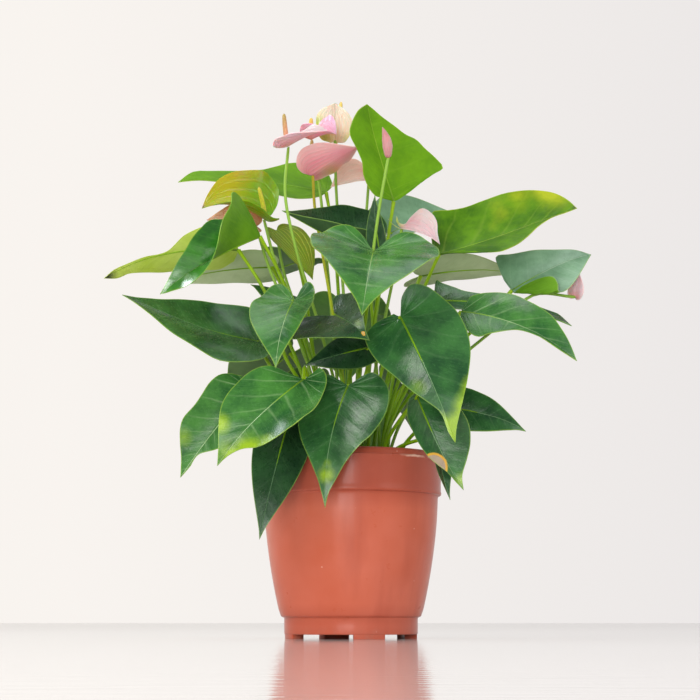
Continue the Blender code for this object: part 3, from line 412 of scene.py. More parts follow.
@dataclass(frozen=True)
class LeafFinish:
    """A leaf's colours and gloss, on its upper face, its underside and its edge."""

    look: LeafLook
    deep: Colour
    light: Colour
    vein: Colour
    margin: Colour
    under: Colour
    under_light: Colour
    roughness: float = 0.3
    vein_strength: float = 0.3
    laterals: float = 9.0
    gleam: float = 0.36
    coat: float = 0.08
    patch: Colour = (0.30, 0.48, 0.012)
    dead: Colour = (0.42, 0.33, 0.24)
    dead_ring: Colour = (0.72, 0.40, 0.05)
    dark: Colour = (0.05, 0.06, 0.035)

    def _veins(self, sheet: NodeSheet) -> tuple[Wire, Wire, Wire]:
        """The lines of the veins.

        Args:
            sheet: The material's nodes.

        Returns:
            The midrib, the side veins and the fine streaks between them.
        """
        along, out = sheet.along_out()
        midrib = (1.0 - sheet.attribute("rib") / (1.5 - 1.2 * along)).held()
        waver = sheet.noise(38.0, 1.0) - 0.5
        phase = along * self.laterals + 0.35 * waver
        line = (phase.math("FRACT") - 0.5).math("ABSOLUTE") * 2.0
        width = 0.2 - 0.1 * out
        side = (1.0 - line / width).held() * out.rising(0.0, 0.06) * (1.0 - 0.75 * out)
        side = side * (0.4 + 1.1 * along.rising(0.45, 0.1))
        streak = sheet.noise(1.0, 3.0, sheet.vector(along * 110.0, out * 5.0, waver), 0.6)
        return midrib, side, streak

    def upper(self) -> Material:
        """The upper face: two tones, veins, fine streaks, stains and a pale margin."""
        sheet = NodeSheet(f"leaf_{self.look.value}_upper")
        midrib, side, streak = self._veins(sheet)
        cloud = sheet.noise(34.0, 4.0, roughness=0.6)
        mottle = sheet.noise(240.0, 4.0, roughness=0.65)
        sheet.ground(cloud.rising(0.36, 0.66), self.deep, self.light)
        sheet.lay((streak.rising(0.46, 0.8) * 0.35).held(), self.light)
        sheet.lay(mottle.rising(0.52, 0.85) * 0.3, self.light)
        sheet.lay(mottle.rising(0.5, 0.36) * 0.2, self.deep)
        soft = sheet.attribute("margin").rising(8.0, 0.0) * 0.5 * cloud.rising(0.2, 0.7)
        sheet.lay(soft, self.light)
        sheet.lay(side * self.vein_strength, self.vein)
        sheet.lay((midrib * (0.5 + self.vein_strength)).held(), self.vein)
        self._stain(sheet, mottle)
        quilt = (sheet.along_across()[0] * self.laterals).math("FRACT") - 0.5
        quilt = 1.0 - 4.0 * quilt * quilt
        grain = sheet.noise(1400.0, 2.0)
        height = (0.35 * quilt + 0.45 * side + 0.6 * midrib + 0.35 * streak + 0.08 * grain
                  + 0.3 * cloud + 0.22 * mottle)
        gloss = self.roughness + 0.3 * (mottle - 0.5) + 0.2 * (streak - 0.5)
        return sheet.finish(Roughness=gloss.held(), Normal=sheet.relief(height, -0.42),
                            Coat_Weight=self.coat, Coat_Roughness=0.16,
                            Specular_IOR_Level=self.gleam)

    def _stain(self, sheet: NodeSheet, mottle: Wire) -> None:
        """Lay on the yellow, dead and dark patches and the fine pale line of the margin.

        Args:
            sheet: The material's nodes.
            mottle: The fine noise that breaks the patches' edges.
        """
        margin = sheet.attribute("margin")
        near = 0.3 + 0.75 * margin.rising(14.0, 1.0)
        yellow = sheet.attribute(Stain.YELLOW.value) * near
        yellow = yellow + (0.7 * (mottle - 0.5) + 0.9 * (sheet.noise(75.0, 3.0) - 0.5)) * yellow.held()
        sheet.lay(yellow.rising(0.08, 0.7) * 0.95, self.patch)
        dead = sheet.attribute(Stain.DEAD.value) + 0.06 * (mottle - 0.5)
        sheet.lay(dead.rising(0.40, 0.46), self.dead_ring)
        sheet.lay(dead.rising(0.52, 0.58), self.dead)
        dark = sheet.attribute(Stain.DARK.value)
        sheet.lay(dark.rising(0.2, 0.7), self.dark)
        sheet.lay(margin.rising(0.95, 0.35) * 0.55, self.margin)

    def lower(self) -> Material:
        """The underside: paler and duller, with veins that stand proud."""
        sheet = NodeSheet(f"leaf_{self.look.value}_lower")
        midrib, side, streak = self._veins(sheet)
        cloud = sheet.noise(30.0, 3.0)
        mottle = sheet.noise(300.0, 3.0)
        sheet.ground(cloud.rising(0.35, 0.68), self.under, self.under_light)
        sheet.lay(streak.rising(0.42, 0.75) * 0.45, self.under_light)
        sheet.lay((side * 0.6).held(), self.under_light)
        sheet.lay((midrib * 0.8).held(), self.vein)
        self._stain(sheet, mottle)
        height = 0.5 * side + 0.6 * midrib + 0.4 * streak + 0.1 * mottle
        gloss = 0.6 + 0.12 * (mottle - 0.5)
        return sheet.finish(Roughness=gloss, Normal=sheet.relief(height, 0.5),
                            Specular_IOR_Level=0.5 * self.gleam)

    def edge(self) -> Material:
        """The thin edge, as pale as the margin."""
        sheet = NodeSheet(f"leaf_{self.look.value}_edge")
        waver = sheet.noise(90.0, 2.0)
        sheet.ground(waver.rising(0.4, 0.6) * 0.5, self.margin, self.light)
        dead = sheet.attribute(Stain.DEAD.value)
        sheet.lay(dead.rising(0.40, 0.50), self.dead)
        return sheet.finish(Roughness=0.42)

    @cache
    def materials(self) -> list[Material]:
        """The three materials, made once for each look."""
        return [self.upper(), self.lower(), self.edge()]


LEAF_FINISHES = {
    finish.look: finish for finish in (
        # Painted shade: the deep look darkens the upper face and the underside of the leaves inside the
        # plant.
        LeafFinish(LeafLook.DEEP_SHADED, (0.008, 0.034, 0.013), (0.024, 0.085, 0.026), (0.10, 0.24, 0.08),
                   (0.20, 0.36, 0.06), (0.032, 0.088, 0.030), (0.070, 0.150, 0.052)),
        LeafFinish(LeafLook.DARK, (0.012, 0.062, 0.020), (0.045, 0.170, 0.040), (0.22, 0.40, 0.18),
                   (0.27, 0.46, 0.06), (0.07, 0.15, 0.05), (0.14, 0.25, 0.09), roughness=0.24,
                   vein_strength=0.38),
        LeafFinish(LeafLook.MIDDLE, (0.022, 0.105, 0.026), (0.075, 0.250, 0.045), (0.36, 0.54, 0.26),
                   (0.33, 0.52, 0.06), (0.08, 0.20, 0.04), (0.16, 0.32, 0.08), roughness=0.25,
                   vein_strength=0.75, gleam=0.24, coat=0.05),
        LeafFinish(LeafLook.FRESH, (0.085, 0.235, 0.003), (0.150, 0.350, 0.005), (0.34, 0.50, 0.05),
                   (0.36, 0.50, 0.03), (0.085, 0.230, 0.003), (0.160, 0.340, 0.006), roughness=0.6,
                   vein_strength=0.25, gleam=0.14, coat=0.0),
        LeafFinish(LeafLook.MOSS, (0.038, 0.130, 0.001), (0.110, 0.270, 0.003), (0.40, 0.52, 0.08),
                   (0.42, 0.52, 0.04), (0.085, 0.230, 0.003), (0.160, 0.340, 0.006), roughness=0.5,
                   vein_strength=0.4, gleam=0.16, coat=0.0, patch=(0.40, 0.46, 0.015)),
        LeafFinish(LeafLook.GLOSSY, (0.012, 0.105, 0.008), (0.050, 0.260, 0.014), (0.24, 0.46, 0.10),
                   (0.26, 0.48, 0.04), (0.085, 0.250, 0.004), (0.170, 0.380, 0.010), roughness=0.12,
                   vein_strength=0.35, gleam=0.6, coat=0.7),
        LeafFinish(LeafLook.LEMON, (0.200, 0.380, 0.012), (0.340, 0.500, 0.030), (0.52, 0.62, 0.14),
                   (0.46, 0.56, 0.05), (0.450, 0.630, 0.050), (0.600, 0.750, 0.150), roughness=0.34,
                   vein_strength=0.25, gleam=0.22),
        LeafFinish(LeafLook.OLIVE, (0.08, 0.19, 0.03), (0.16, 0.30, 0.06), (0.40, 0.50, 0.24),
                   (0.36, 0.48, 0.12), (0.38, 0.50, 0.24), (0.56, 0.68, 0.40), roughness=0.36),
        # Painted sheen: the blue-grey of the upper face stands for a pale reflection over green; the
        # underside is plain green.
        LeafFinish(LeafLook.BLUE, (0.130, 0.270, 0.150), (0.240, 0.420, 0.260), (0.40, 0.55, 0.36),
                   (0.34, 0.50, 0.16), (0.085, 0.240, 0.006), (0.150, 0.340, 0.015), roughness=0.34),
    )
}


@dataclass(frozen=True)
class SpatheFinish:
    """A spathe's colours from its throat to its tip, on its face, its back and its edge."""

    look: SpatheLook
    throat: Colour
    body: Colour
    rim: Colour
    back: Colour
    back_rim: Colour
    rib: Colour
    ribs: float = 4.5
    rib_strength: float = 0.25
    roughness: float = 0.3
    green: Colour = (0.36, 0.48, 0.05)

    def _material(self, face: str, body: Colour, rim: Colour, sign: float) -> Material:
        """One side of the spathe.

        Args:
            face: The side's name.
            body: Its main colour.
            rim: Its colour near the margin.
            sign: 1 where the ribs stand proud, -1 where they are sunk.

        Returns:
            The material.
        """
        sheet = NodeSheet(f"spathe_{self.look.value}_{face}")
        along, out = sheet.along_out()
        waver = sheet.noise(60.0, 2.0) - 0.5
        line = ((out * self.ribs + 0.3 * waver).math("FRACT") - 0.5).math("ABSOLUTE") * 2.0
        rib = line.rising(0.35, 0.0) * out.rising(1.0, 0.8)
        fine = sheet.noise(1.0, 3.0, sheet.vector(out * 70.0, along * 5.0, waver), 0.6)
        cloud = sheet.noise(70.0, 3.0)
        reach = sheet.attribute("reach")
        sheet.ground(reach.rising(-0.05, 0.3), self.throat, body)
        sheet.lay(out.rising(0.45, 1.0) * 0.8, rim)
        sheet.lay(cloud.rising(0.35, 0.7) * 0.3, rim)
        sheet.lay(rib * self.rib_strength, self.rib)
        sheet.lay(fine.rising(0.5, 0.8) * 0.22, self.rib)
        green = sheet.attribute(Stain.GREEN.value) + 0.4 * (fine - 0.5)
        sheet.lay(green.rising(0.15, 0.8) * 0.92, self.green)
        dark = sheet.attribute(Stain.DARK.value)
        sheet.lay(dark.rising(0.2, 0.7), (0.17, 0.09, 0.05))
        height = sign * rib + 0.35 * fine + 0.3 * cloud
        return sheet.finish(Roughness=self.roughness, Coat_Weight=0.12,
                            Normal=sheet.relief(height, 0.4), Coat_Roughness=0.18,
                            Subsurface_Weight=0.85, Subsurface_Radius=(1.0, 0.45, 0.5),
                            Subsurface_Scale=0.003)

    @cache
    def materials(self) -> list[Material]:
        """The face, the back and the edge."""
        face = self._material("face", self.body, self.rim, -1.0)
        back = self._material("back", self.back, self.back_rim, 1.0)
        sheet = NodeSheet(f"spathe_{self.look.value}_edge")
        waver = sheet.noise(120.0, 2.0)
        sheet.ground(waver.rising(0.35, 0.65), self.rim, self.back_rim)
        green = sheet.attribute(Stain.GREEN.value)
        sheet.lay(green.rising(0.1, 0.6) * 0.9, self.green)
        return [face, back, sheet.finish(Roughness=0.4)]


PINK_PALE = (0.90, 0.66, 0.65)
PINK_SOFT = (0.86, 0.47, 0.52)
PINK_ROSE = (0.78, 0.33, 0.40)
PINK_HOT = (0.86, 0.30, 0.44)
CORAL = (0.80, 0.22, 0.20)
CREAM = (0.90, 0.70, 0.55)

SPATHE_FINISHES = {
    finish.look: finish for finish in (
        # The pale back is its pink set lighter than the face: painted light, for light that shines through
        # the spathe.
        SpatheFinish(SpatheLook.PALE, PINK_ROSE, PINK_SOFT, PINK_PALE, (1.0, 0.46, 0.56),
                     (1.0, 0.62, 0.68), PINK_PALE),
        SpatheFinish(SpatheLook.HOT, CORAL, PINK_HOT, (0.94, 0.40, 0.56), (0.95, 0.38, 0.54),
                     (0.96, 0.50, 0.64), PINK_PALE),
        # The rose back is its pink set lighter than the face: painted light, for light that shines through
        # the spathe.
        SpatheFinish(SpatheLook.ROSE, (0.74, 0.22, 0.28), PINK_ROSE, PINK_SOFT, (0.95, 0.34, 0.40),
                     (0.95, 0.58, 0.54), PINK_PALE, ribs=7.5, rib_strength=0.35),
        SpatheFinish(SpatheLook.PEACH, (0.86, 0.56, 0.30), (0.92, 0.60, 0.48), CREAM,
                     (0.92, 0.58, 0.44), (0.92, 0.68, 0.50), (0.93, 0.82, 0.66), ribs=5.5,
                     rib_strength=0.6),
        SpatheFinish(SpatheLook.SALMON, (0.80, 0.40, 0.34), (0.84, 0.50, 0.42), (0.86, 0.58, 0.48),
                     (0.90, 0.50, 0.41), (0.92, 0.58, 0.48), (0.92, 0.72, 0.62), roughness=0.4),
        SpatheFinish(SpatheLook.HOOD, (0.29, 0.36, 0.003), (0.33, 0.40, 0.002), (0.38, 0.36, 0.003),
                     (0.15, 0.36, 0.002), (0.18, 0.38, 0.002), (0.44, 0.47, 0.01),
                     green=(0.13, 0.36, 0.002)),
        SpatheFinish(SpatheLook.BROWN, (0.46, 0.24, 0.11), (0.64, 0.34, 0.20), (0.54, 0.30, 0.12),
                     (0.62, 0.33, 0.20), (0.50, 0.30, 0.11), (0.70, 0.44, 0.28), roughness=0.45),
        SpatheFinish(SpatheLook.DROOPING, (0.17, 0.33, 0.002), (0.17, 0.33, 0.002),
                     (0.14, 0.26, 0.006), (0.17, 0.33, 0.002), (0.13, 0.25, 0.006),
                     (0.46, 0.60, 0.05), ribs=5.5, rib_strength=0.8, roughness=0.45),
        SpatheFinish(SpatheLook.SMALL, (0.80, 0.30, 0.30), (0.92, 0.50, 0.56), PINK_PALE,
                     (0.97, 0.58, 0.66), (0.97, 0.72, 0.74), PINK_PALE),
        SpatheFinish(SpatheLook.CLOSED, (0.66, 0.26, 0.28), (0.66, 0.26, 0.30), (0.70, 0.40, 0.34),
                     (0.62, 0.27, 0.29), (0.66, 0.36, 0.32), PINK_PALE, ribs=7.5),
    )
}


@dataclass(frozen=True)
class StemFinish:
    """A stem's colours, from its foot in the soil to its top."""

    name: str
    foot: Colour
    middle: Colour
    top: Colour

    def material(self) -> Material:
        """The stem's material."""
        return by_name(self.name, self._skin)

    def _skin(self) -> Material:
        """A smooth stem with fine lengthwise streaks, darker towards its foot."""
        sheet = NodeSheet(self.name)
        along, across = sheet.along_across()
        streak = sheet.noise(1.0, 3.0, sheet.vector(across * 26.0, along * 3.0, 0.0), 0.6)
        cloud = sheet.noise(55.0, 3.0)
        sheet.ground(along.rising(0.02, 0.28), self.foot, self.middle)
        sheet.lay((along.rising(0.55, 1.0) * 0.9).held(), self.top)
        sheet.lay(streak.rising(0.5, 0.8) * 0.35, self.top)
        sheet.lay(cloud.rising(0.5, 0.8) * 0.35, self.foot)
        speck = sheet.cells(420.0).rising(0.16, 0.1) * cloud.rising(0.45, 0.6)
        sheet.lay(speck * 0.5, (0.22, 0.16, 0.05))
        return sheet.finish(Roughness=0.4, Coat_Weight=0.06, Coat_Roughness=0.2,
                            Specular_IOR_Level=0.25, Normal=sheet.relief(streak, 0.12))


PETIOLE_FINISH = StemFinish("petiole", (0.08, 0.18, 0.006), (0.21, 0.42, 0.003), (0.32, 0.52, 0.006))
STALK_FINISH = StemFinish("stalk", (0.12, 0.22, 0.006), (0.35, 0.54, 0.004), (0.42, 0.58, 0.01))
STALK_WARM = StemFinish("stalk_warm", (0.12, 0.22, 0.006), (0.38, 0.50, 0.006), (0.52, 0.38, 0.04))


@dataclass(frozen=True)
class SpadixFinish:
    """A spadix's colours from its foot to its tip."""

    look: SpadixLook
    foot: Colour
    tip: Colour

    def material(self) -> Material:
        """The spadix's material."""
        return by_name(f"spadix_{self.look.value}", self._flowers)

    def _flowers(self) -> Material:
        """Closely packed tiny flowers in rows that wind round the spike, with painted shade in the grooves
        between them.
        """
        sheet = NodeSheet(f"spadix_{self.look.value}")
        along, across = sheet.along_across()
        flower = sheet.cells(1.0, sheet.vector(across * 9.0 + along * 6.0, along * 20.0, 0.0))
        cloud = sheet.noise(160.0, 2.0)
        sheet.ground(along.rising(0.3, 0.95), self.foot, self.tip)
        # Painted shade: dark brown in the grooves between the flowers.
        sheet.lay(flower.rising(0.3, 0.65) * 0.35, (0.42, 0.26, 0.05))
        sheet.lay(cloud.rising(0.5, 0.75) * 0.15, (0.86, 0.66, 0.30))
        return sheet.finish(Roughness=0.55,
                            Normal=sheet.relief(1.0 - flower, 0.35))


SPADIX_FINISHES = {
    finish.look: finish for finish in (
        SpadixFinish(SpadixLook.CORAL, (0.80, 0.34, 0.24), (0.48, 0.36, 0.10)),
        SpadixFinish(SpadixLook.YELLOW, (0.78, 0.68, 0.06), (0.86, 0.55, 0.05)),
        SpadixFinish(SpadixLook.LEMON, (0.74, 0.72, 0.03), (0.72, 0.68, 0.04)),
    )
}


@dataclass(frozen=True)
class PotFinish:
    """Terracotta-coloured moulded plastic with a satin gloss."""

    body: Colour = (0.54, 0.112, 0.056)
    faded: Colour = (0.61, 0.155, 0.095)
    # The deep tone colours the upright streaks and the painted shade on the rim band and foot.
    deep: Colour = (0.31, 0.050, 0.028)
    # The parting line's colour: a painted highlight on its bead.
    flash_and_highlight: Colour = (0.86, 0.52, 0.40)
    flash_height: float = 0.1552
    roughness: float = 0.3

    def material(self) -> Material:
        """Soft upright streaks, a broken parting line below the lip painted pale as its highlight, painted
        shade on the rim band and the foot, dust and fine pits.
        """
        sheet = NodeSheet("pot_plastic")
        cloud = sheet.noise(14.0, 3.0)
        upright = sheet.noise(46.0, 3.0, sheet.stretched((1.0, 1.0, 0.12)))
        smudge = sheet.noise(90.0, 4.0, roughness=0.7)
        sheet.ground(cloud.rising(0.32, 0.68), self.body, self.faded)
        height = sheet.split(sheet.object_place())[2]
        # Painted shade: the rim band, where the leaves shade it, and the lower wall near the foot are
        # darkened with the deep tone.
        ends = (height.rising(0.110, 0.128) + 0.5 * height.rising(0.030, 0.016)).held()
        sheet.lay(ends * 0.6, self.deep)
        sheet.lay(upright.rising(0.52, 0.78) * 0.3, self.deep)
        sheet.lay(smudge.rising(0.55, 0.9) * 0.22, self.faded)
        ragged = (sheet.noise(210.0, 3.0) - 0.5) * 0.0016
        broken = sheet.noise(34.0, 2.0).rising(0.44, 0.52)
        # The parting line: its bead is in the bump, and its pale colour is a painted highlight.
        flash_and_highlight = (height + ragged - self.flash_height).math("ABSOLUTE").rising(0.0013, 0.0005) * broken
        sheet.lay(flash_and_highlight * 0.9, self.flash_and_highlight)
        dust = height.rising(0.012, 0.0) * smudge.rising(0.4, 0.7)
        sheet.lay(dust * 0.35, (0.30, 0.20, 0.15))
        grit = sheet.cells(75.0).rising(0.075, 0.045) * smudge.rising(0.52, 0.6)
        sheet.lay(grit * 0.5, (0.80, 0.55, 0.45))
        pits = sheet.noise(900.0, 2.0)
        relief = 0.25 * pits + 0.5 * upright + 0.4 * flash_and_highlight + 0.3 * smudge
        gloss = self.roughness + 0.22 * (smudge - 0.45) + 0.1 * grit
        return sheet.finish(Roughness=gloss.held(), Coat_Weight=0.06,
                            Specular_IOR_Level=0.2, Coat_Roughness=0.12,
                            Normal=sheet.relief(relief, 0.16))


@dataclass(frozen=True)
class SoilFinish:
    """Dark peat with paler fibres and crumbs."""

    dark: Colour = (0.022, 0.013, 0.008)
    brown: Colour = (0.085, 0.050, 0.028)
    fibre: Colour = (0.22, 0.13, 0.06)

    def material(self, name: str, pale: float) -> Material:
        """Rough peat.

        Args:
            name: The material's name.
            pale: How far its crumbs go towards the fibres' colour.

        Returns:
            The material.
        """
        sheet = NodeSheet(name)
        clump = sheet.noise(120.0, 5.0, roughness=0.7)
        fine = sheet.noise(700.0, 4.0, roughness=0.7)
        crumb = sheet.cells(380.0)
        sheet.ground(clump.rising(0.35, 0.7), self.dark, self.brown)
        sheet.lay((fine.rising(0.5, 0.85) * (0.35 + pale)).held(), self.fibre)
        height = 0.8 * fine + 0.6 * (1.0 - crumb) + 0.5 * clump
        return sheet.finish(Roughness=0.94, Normal=sheet.relief(height, 1.1))


def deselect() -> None:
    """Clear the selection, so that an operator acts only on what comes next."""
    for item in list(bpy.context.selected_objects):
        item.select_set(False)


def choose(item: Item) -> None:
    """Make an object the only selected one, and active."""
    deselect()
    item.select_set(True)
    bpy.context.view_layer.objects.active = item


def applied(item: Item, kind: str, **settings: Any) -> None:
    """Add a modifier to an object and apply it.

    Args:
        item: The object.
        kind: The modifier's type.
        settings: Its settings.
    """
    choose(item)
    modifier = item.modifiers.new(kind.title(), kind)
    for key, value in settings.items():
        setattr(modifier, key, value)
    bpy.ops.object.modifier_apply(modifier=modifier.name)


def edited(item: Item, *steps: Callable[[], Any]) -> None:
    """Run edit-mode steps on all of an object's mesh.

    Args:
        item: The object.
        steps: Calls that are made in edit mode, with everything selected.
    """
    choose(item)
    bpy.ops.object.mode_set(mode="EDIT")
    bpy.ops.mesh.select_all(action="SELECT")
    for step in steps:
        step()
    bpy.ops.object.mode_set(mode="OBJECT")


def rounded_shading(item: Item, sharp: float) -> None:
    """Shade an object smooth, with edges sharper than an angle kept crisp."""
    choose(item)
    bpy.ops.object.shade_smooth_by_angle(angle=radians(sharp))


def joined(pieces: Sequence[Item], name: str) -> Item:
    """Join objects into one.

    Args:
        pieces: The objects; the first one stays.
        name: The joined object's name.

    Returns:
        The joined object.
    """
    deselect()
    for piece in pieces:
        piece.select_set(True)
    bpy.context.view_layer.objects.active = pieces[0]
    if len(pieces) > 1:
        bpy.ops.object.join()
    whole = pieces[0]
    whole.name = whole.data.name = name
    return whole


def sheet_piece(name: str, columns: int, rows: int,
                surface: Callable[[int, int], Array]) -> Item:
    """Add a grid and lay its corners on a surface given in millimetres.

    Args:
        name: The object's name.
        columns: Faces across.
        rows: Faces along.
        surface: The place of the corner at a row and a column.

    Returns:
        The object.
    """
    deselect()
    bpy.ops.mesh.primitive_grid_add(x_subdivisions=columns, y_subdivisions=rows, size=2.0)
    item = bpy.context.active_object
    item.name = item.data.name = name
    for corner in item.data.vertices:
        column = round((corner.co.x + 1.0) * 0.5 * columns)
        row = round((corner.co.y + 1.0) * 0.5 * rows)
        corner.co = surface(row, column) * MM
    return item


def merge_seams(item: Item) -> None:
    """Merge the corners of an object that lie on each other."""
    edited(item, lambda: bpy.ops.mesh.remove_doubles(threshold=SEAM))


def closed(item: Item, material: Material) -> Item:
    """Close a rounded piece's seams, turn its faces outwards, and dress it.

    Args:
        item: The piece.
        material: Its material.

    Returns:
        The piece.
    """
    merge_seams(item)
    edited(item, lambda: bpy.ops.mesh.normals_make_consistent(inside=False))
    item.data.materials.append(material)
    rounded_shading(item, SHARP_ANGLE)
    return item


def carry(item: Item, name: str, values: Array) -> None:
    """Store a number for each corner of an object's mesh, for its materials to read."""
    layer = item.data.attributes.new(name=name, type="FLOAT", domain="POINT")
    layer.data.foreach_set("value", values)


def seen(across: float, up: float, deep: float) -> Array:
    """The place, in millimetres, of a point as it shows from the front.

    Args:
        across: How far right of the pot's axis it shows.
        up: How far above the floor it shows.
        deep: How far behind the pot's axis it lies.

    Returns:
        The place.
    """
    forward = np.array((0.0, cos(EYE_PITCH), sin(EYE_PITCH)))
    upward = np.array((0.0, -sin(EYE_PITCH), cos(EYE_PITCH)))
    eye = np.array((0.0, -EYE_DISTANCE, EYE_HEIGHT))
    ray = forward + upward * ((up - SIGHT_MIDDLE) / SIGHT_REACH)
    ray[0] += across / SIGHT_REACH
    return eye + ray * ((EYE_DISTANCE + deep) / ray[1])


def shown(place: Array) -> tuple[float, float]:
    """How far across and how far up a place shows from the front.

    Args:
        place: The place in millimetres.

    Returns:
        Across and up, in millimetres.
    """
    deep = EYE_DISTANCE + place[1]
    rise = place[2] - EYE_HEIGHT
    reach = deep * cos(EYE_PITCH) + rise * sin(EYE_PITCH)
    lift = rise * cos(EYE_PITCH) - deep * sin(EYE_PITCH)
    return place[0] * SIGHT_REACH / reach, SIGHT_MIDDLE + lift * SIGHT_REACH / reach


def unit(vector: Array) -> Array:
    """A vector of length 1 the same way."""
    return vector / norm(vector)


def evenly(line: Array, count: int) -> Array:
    """A line's points spread evenly over its length.

    Args:
        line: The line's points.
        count: How many points come out.

    Returns:
        The spread points.
    """
    lengths = np.concatenate(((0.0,), np.cumsum(norm(np.diff(line, axis=0), axis=1))))
    wanted = np.linspace(0.0, lengths[-1], count)
    return np.stack([np.interp(wanted, lengths, line[:, i]) for i in range(line.shape[1])], axis=1)


def smooth_through(points: Sequence[Sequence[float]], count: int) -> Array:
    """A smooth curve through points, as evenly spread points along it.

    Args:
        points: The points that it passes.
        count: How many points come out.

    Returns:
        The curve's points.
    """
    knots = np.array(points, float)
    first = 2.0 * knots[0] - knots[1]
    last = 2.0 * knots[-1] - knots[-2]
    knots = np.vstack((first, knots, last))
    fine = []
    for k in range(1, len(knots) - 2):
        for t in np.linspace(0.0, 1.0, CURVE_STEPS, endpoint=False):
            a, b, c, d = knots[k - 1:k + 3]
            fine.append(0.5 * (2.0 * b + (c - a) * t + (2.0 * a - 5.0 * b + 4.0 * c - d) * t ** 2
                               + (3.0 * b - a - 3.0 * c + d) * t ** 3))
    fine.append(knots[-2])
    return evenly(np.array(fine), count)


def at_place(point: Any) -> Array:
    """A point given as across, up and deep, or a ready place as an array."""
    if isinstance(point, Array):
        return point
    return seen(*point)


@dataclass
class Blade:
    """A leaf or a bract by its base, its tip and the widest point of each half.

    Its stains are spots by kind: across, up, radius and strength, as they show from the front.
    """

    name: str
    base: Any
    tip: Any
    one: Any
    two: Any
    arch: float = 0.05
    sway: float = 0.0
    curl: tuple[float, float] = (25.0, 25.0)
    hook: float = 0.04
    lift: float = 0.06
    wave: float = 0.03
    lobes: float = 1.0
    fold: tuple[float, float] = (0.0, 0.0)
    crease: tuple[Any, ...] = ()
    turned: bool = False
    via: tuple[Place, ...] = ()
    look: LeafLook = LeafLook.DARK
    stains: dict[Stain, tuple[Spot, ...]] = field(default_factory=dict)


# Margins of the halves that differ from the usual outline, as they show from the front: across
# and up, from the sinus round the lobe towards the tip
RIMS = {
    "leaf_left_low": (
        ((-55, 235), (-72, 242), (-91, 236), (-105, 223), (-114, 210), (-117, 198), (-118, 184), (-118, 170)),
        ((-29, 241), (-23, 236), (-22, 226), (-29, 209), (-44, 195), (-58, 185), (-72, 175), (-83, 170),
         (-97, 168), (-111, 162)),
    ),
    "leaf_left_outer": (
        ((-97, 233), (-107, 235), (-117, 234), (-126, 227), (-133, 216), (-140, 206), (-149, 196),
         (-152, 186), (-152, 173), (-151, 159)),
        ((-82, 208), (-86, 192), (-100, 178), (-119, 168), (-136, 163), (-146, 154)),
    ),
    "leaf_front_right": (
        ((38, 288), (22, 280), (13, 269), (15, 258), (24, 245), (38, 233), (52, 221), (66, 211), (79, 201),
         (87, 192), (91, 184)),
        (),
    ),
    "leaf_front_low": (
        ((-10, 229), (-20, 234), (-32, 232), (-42, 222), (-47, 205), (-47, 189), (-44, 175), (-37, 159),
         (-30, 142), (-26, 128)),
        ((10, 233), (20, 236), (30, 228), (34, 214), (30, 198), (19, 182), (8, 172), (-3, 159), (-13, 142),
         (-20, 129)),
    ),
    "leaf_right_low": (
        ((55, 216), (51, 211), (50, 198), (54, 186), (59, 175), (69, 161), (77, 154), (86, 147), (93, 139)),
        ((66, 218), (80, 216), (95, 206), (104, 192), (106, 175), (103, 159), (99, 145)),
    ),
    "leaf_right_middle": (
        ((74, 308), (76, 318), (91, 312), (102, 308), (124, 305), (150, 300), (173, 292), (184, 288)),
        (),
    ),
    "leaf_right_drooping": (
        ((101, 296), (106, 303), (115, 306), (124, 307), (134, 307), (146, 305), (157, 300), (168, 294),
         (179, 286), (187, 275), (194, 263)),
        ((97, 281), (104, 273), (113, 268), (124, 271), (146, 274), (170, 275), (184, 270), (193, 260)),
    ),
    "leaf_right_bright": (
        ((72, 350), (70, 370), (73, 379), (85, 380), (99, 382), (113, 387), (124, 391), (140, 396),
         (157, 398), (173, 397), (184, 394), (194, 389)),
        ((91, 345), (102, 346), (113, 343), (124, 343), (135, 344), (146, 349), (157, 357), (168, 367),
         (179, 376), (189, 381)),
    ),
    "leaf_right_blue": (
        ((136, 318), (131, 330), (129, 339), (140, 341), (157, 344), (178, 345), (198, 345)),
        ((150, 300), (160, 295), (170, 294), (179, 299), (185, 306), (191, 309), (199, 317), (206, 328)),
    ),
    "leaf_top_bright": (
        ((29, 391), (22, 393), (16, 400), (11, 412), (10, 423), (6, 433), (-1, 448), (1, 459), (5, 467),
         (8, 472)),
        ((43, 390), (53, 397), (63, 405), (73, 412), (82, 418), (76, 426), (66, 435), (58, 443), (48, 448),
         (39, 455), (28, 463), (20, 470)),
    ),
    "leaf_top_left": (
        ((-16, 402), (-18, 408), (-23, 416), (-39, 421), (-54, 422), (-67, 419), (-80, 416), (-101, 415),
         (-122, 415), (-141, 414)),
        ((-26, 393), (-36, 391), (-54, 390), (-65, 393), (-85, 398), (-105, 403), (-122, 406), (-138, 409)),
    ),
    "leaf_left_glossy": (
        ((-88, 366), (-99, 370), (-114, 372), (-126, 371), (-134, 364), (-141, 356), (-148, 344), (-154, 335),
         (-162, 320)),
        ((-71, 346), (-62, 335), (-64, 328), (-72, 326), (-92, 319), (-109, 315), (-127, 311), (-144, 309),
         (-158, 308)),
    ),
    "leaf_left_yellow": (
        ((-104, 356), (-113, 365), (-122, 368), (-131, 366), (-148, 358), (-164, 343), (-182, 336),
         (-193, 330), (-201, 329), (-211, 327)),
        ((-104, 335), (-118, 326), (-140, 325), (-159, 326), (-180, 325), (-197, 324), (-207, 320)),
    ),
    "bloom_ribbed": (
        ((-18, 440), (-26, 443), (-30, 450), (-31, 458), (-30, 465), (-26, 470), (-20, 473)),
        ((-10, 440), (-5, 441), (0, 449), (2, 457), (0, 463), (-4, 468), (-9, 472)),
    ),
    "bloom_right": (
        ((40, 371), (37, 377), (42, 370), (48, 368), (53, 374), (61, 381), (70, 379), (76, 371), (77, 360)),
        ((39, 366), (41, 362), (52, 360), (63, 357), (72, 354)),
    ),
    "bloom_hood": (
        ((-70, 377), (-65, 387), (-65, 400), (-73, 411), (-86, 416), (-101, 415), (-117, 408), (-127, 395)),
        (),
    ),
}


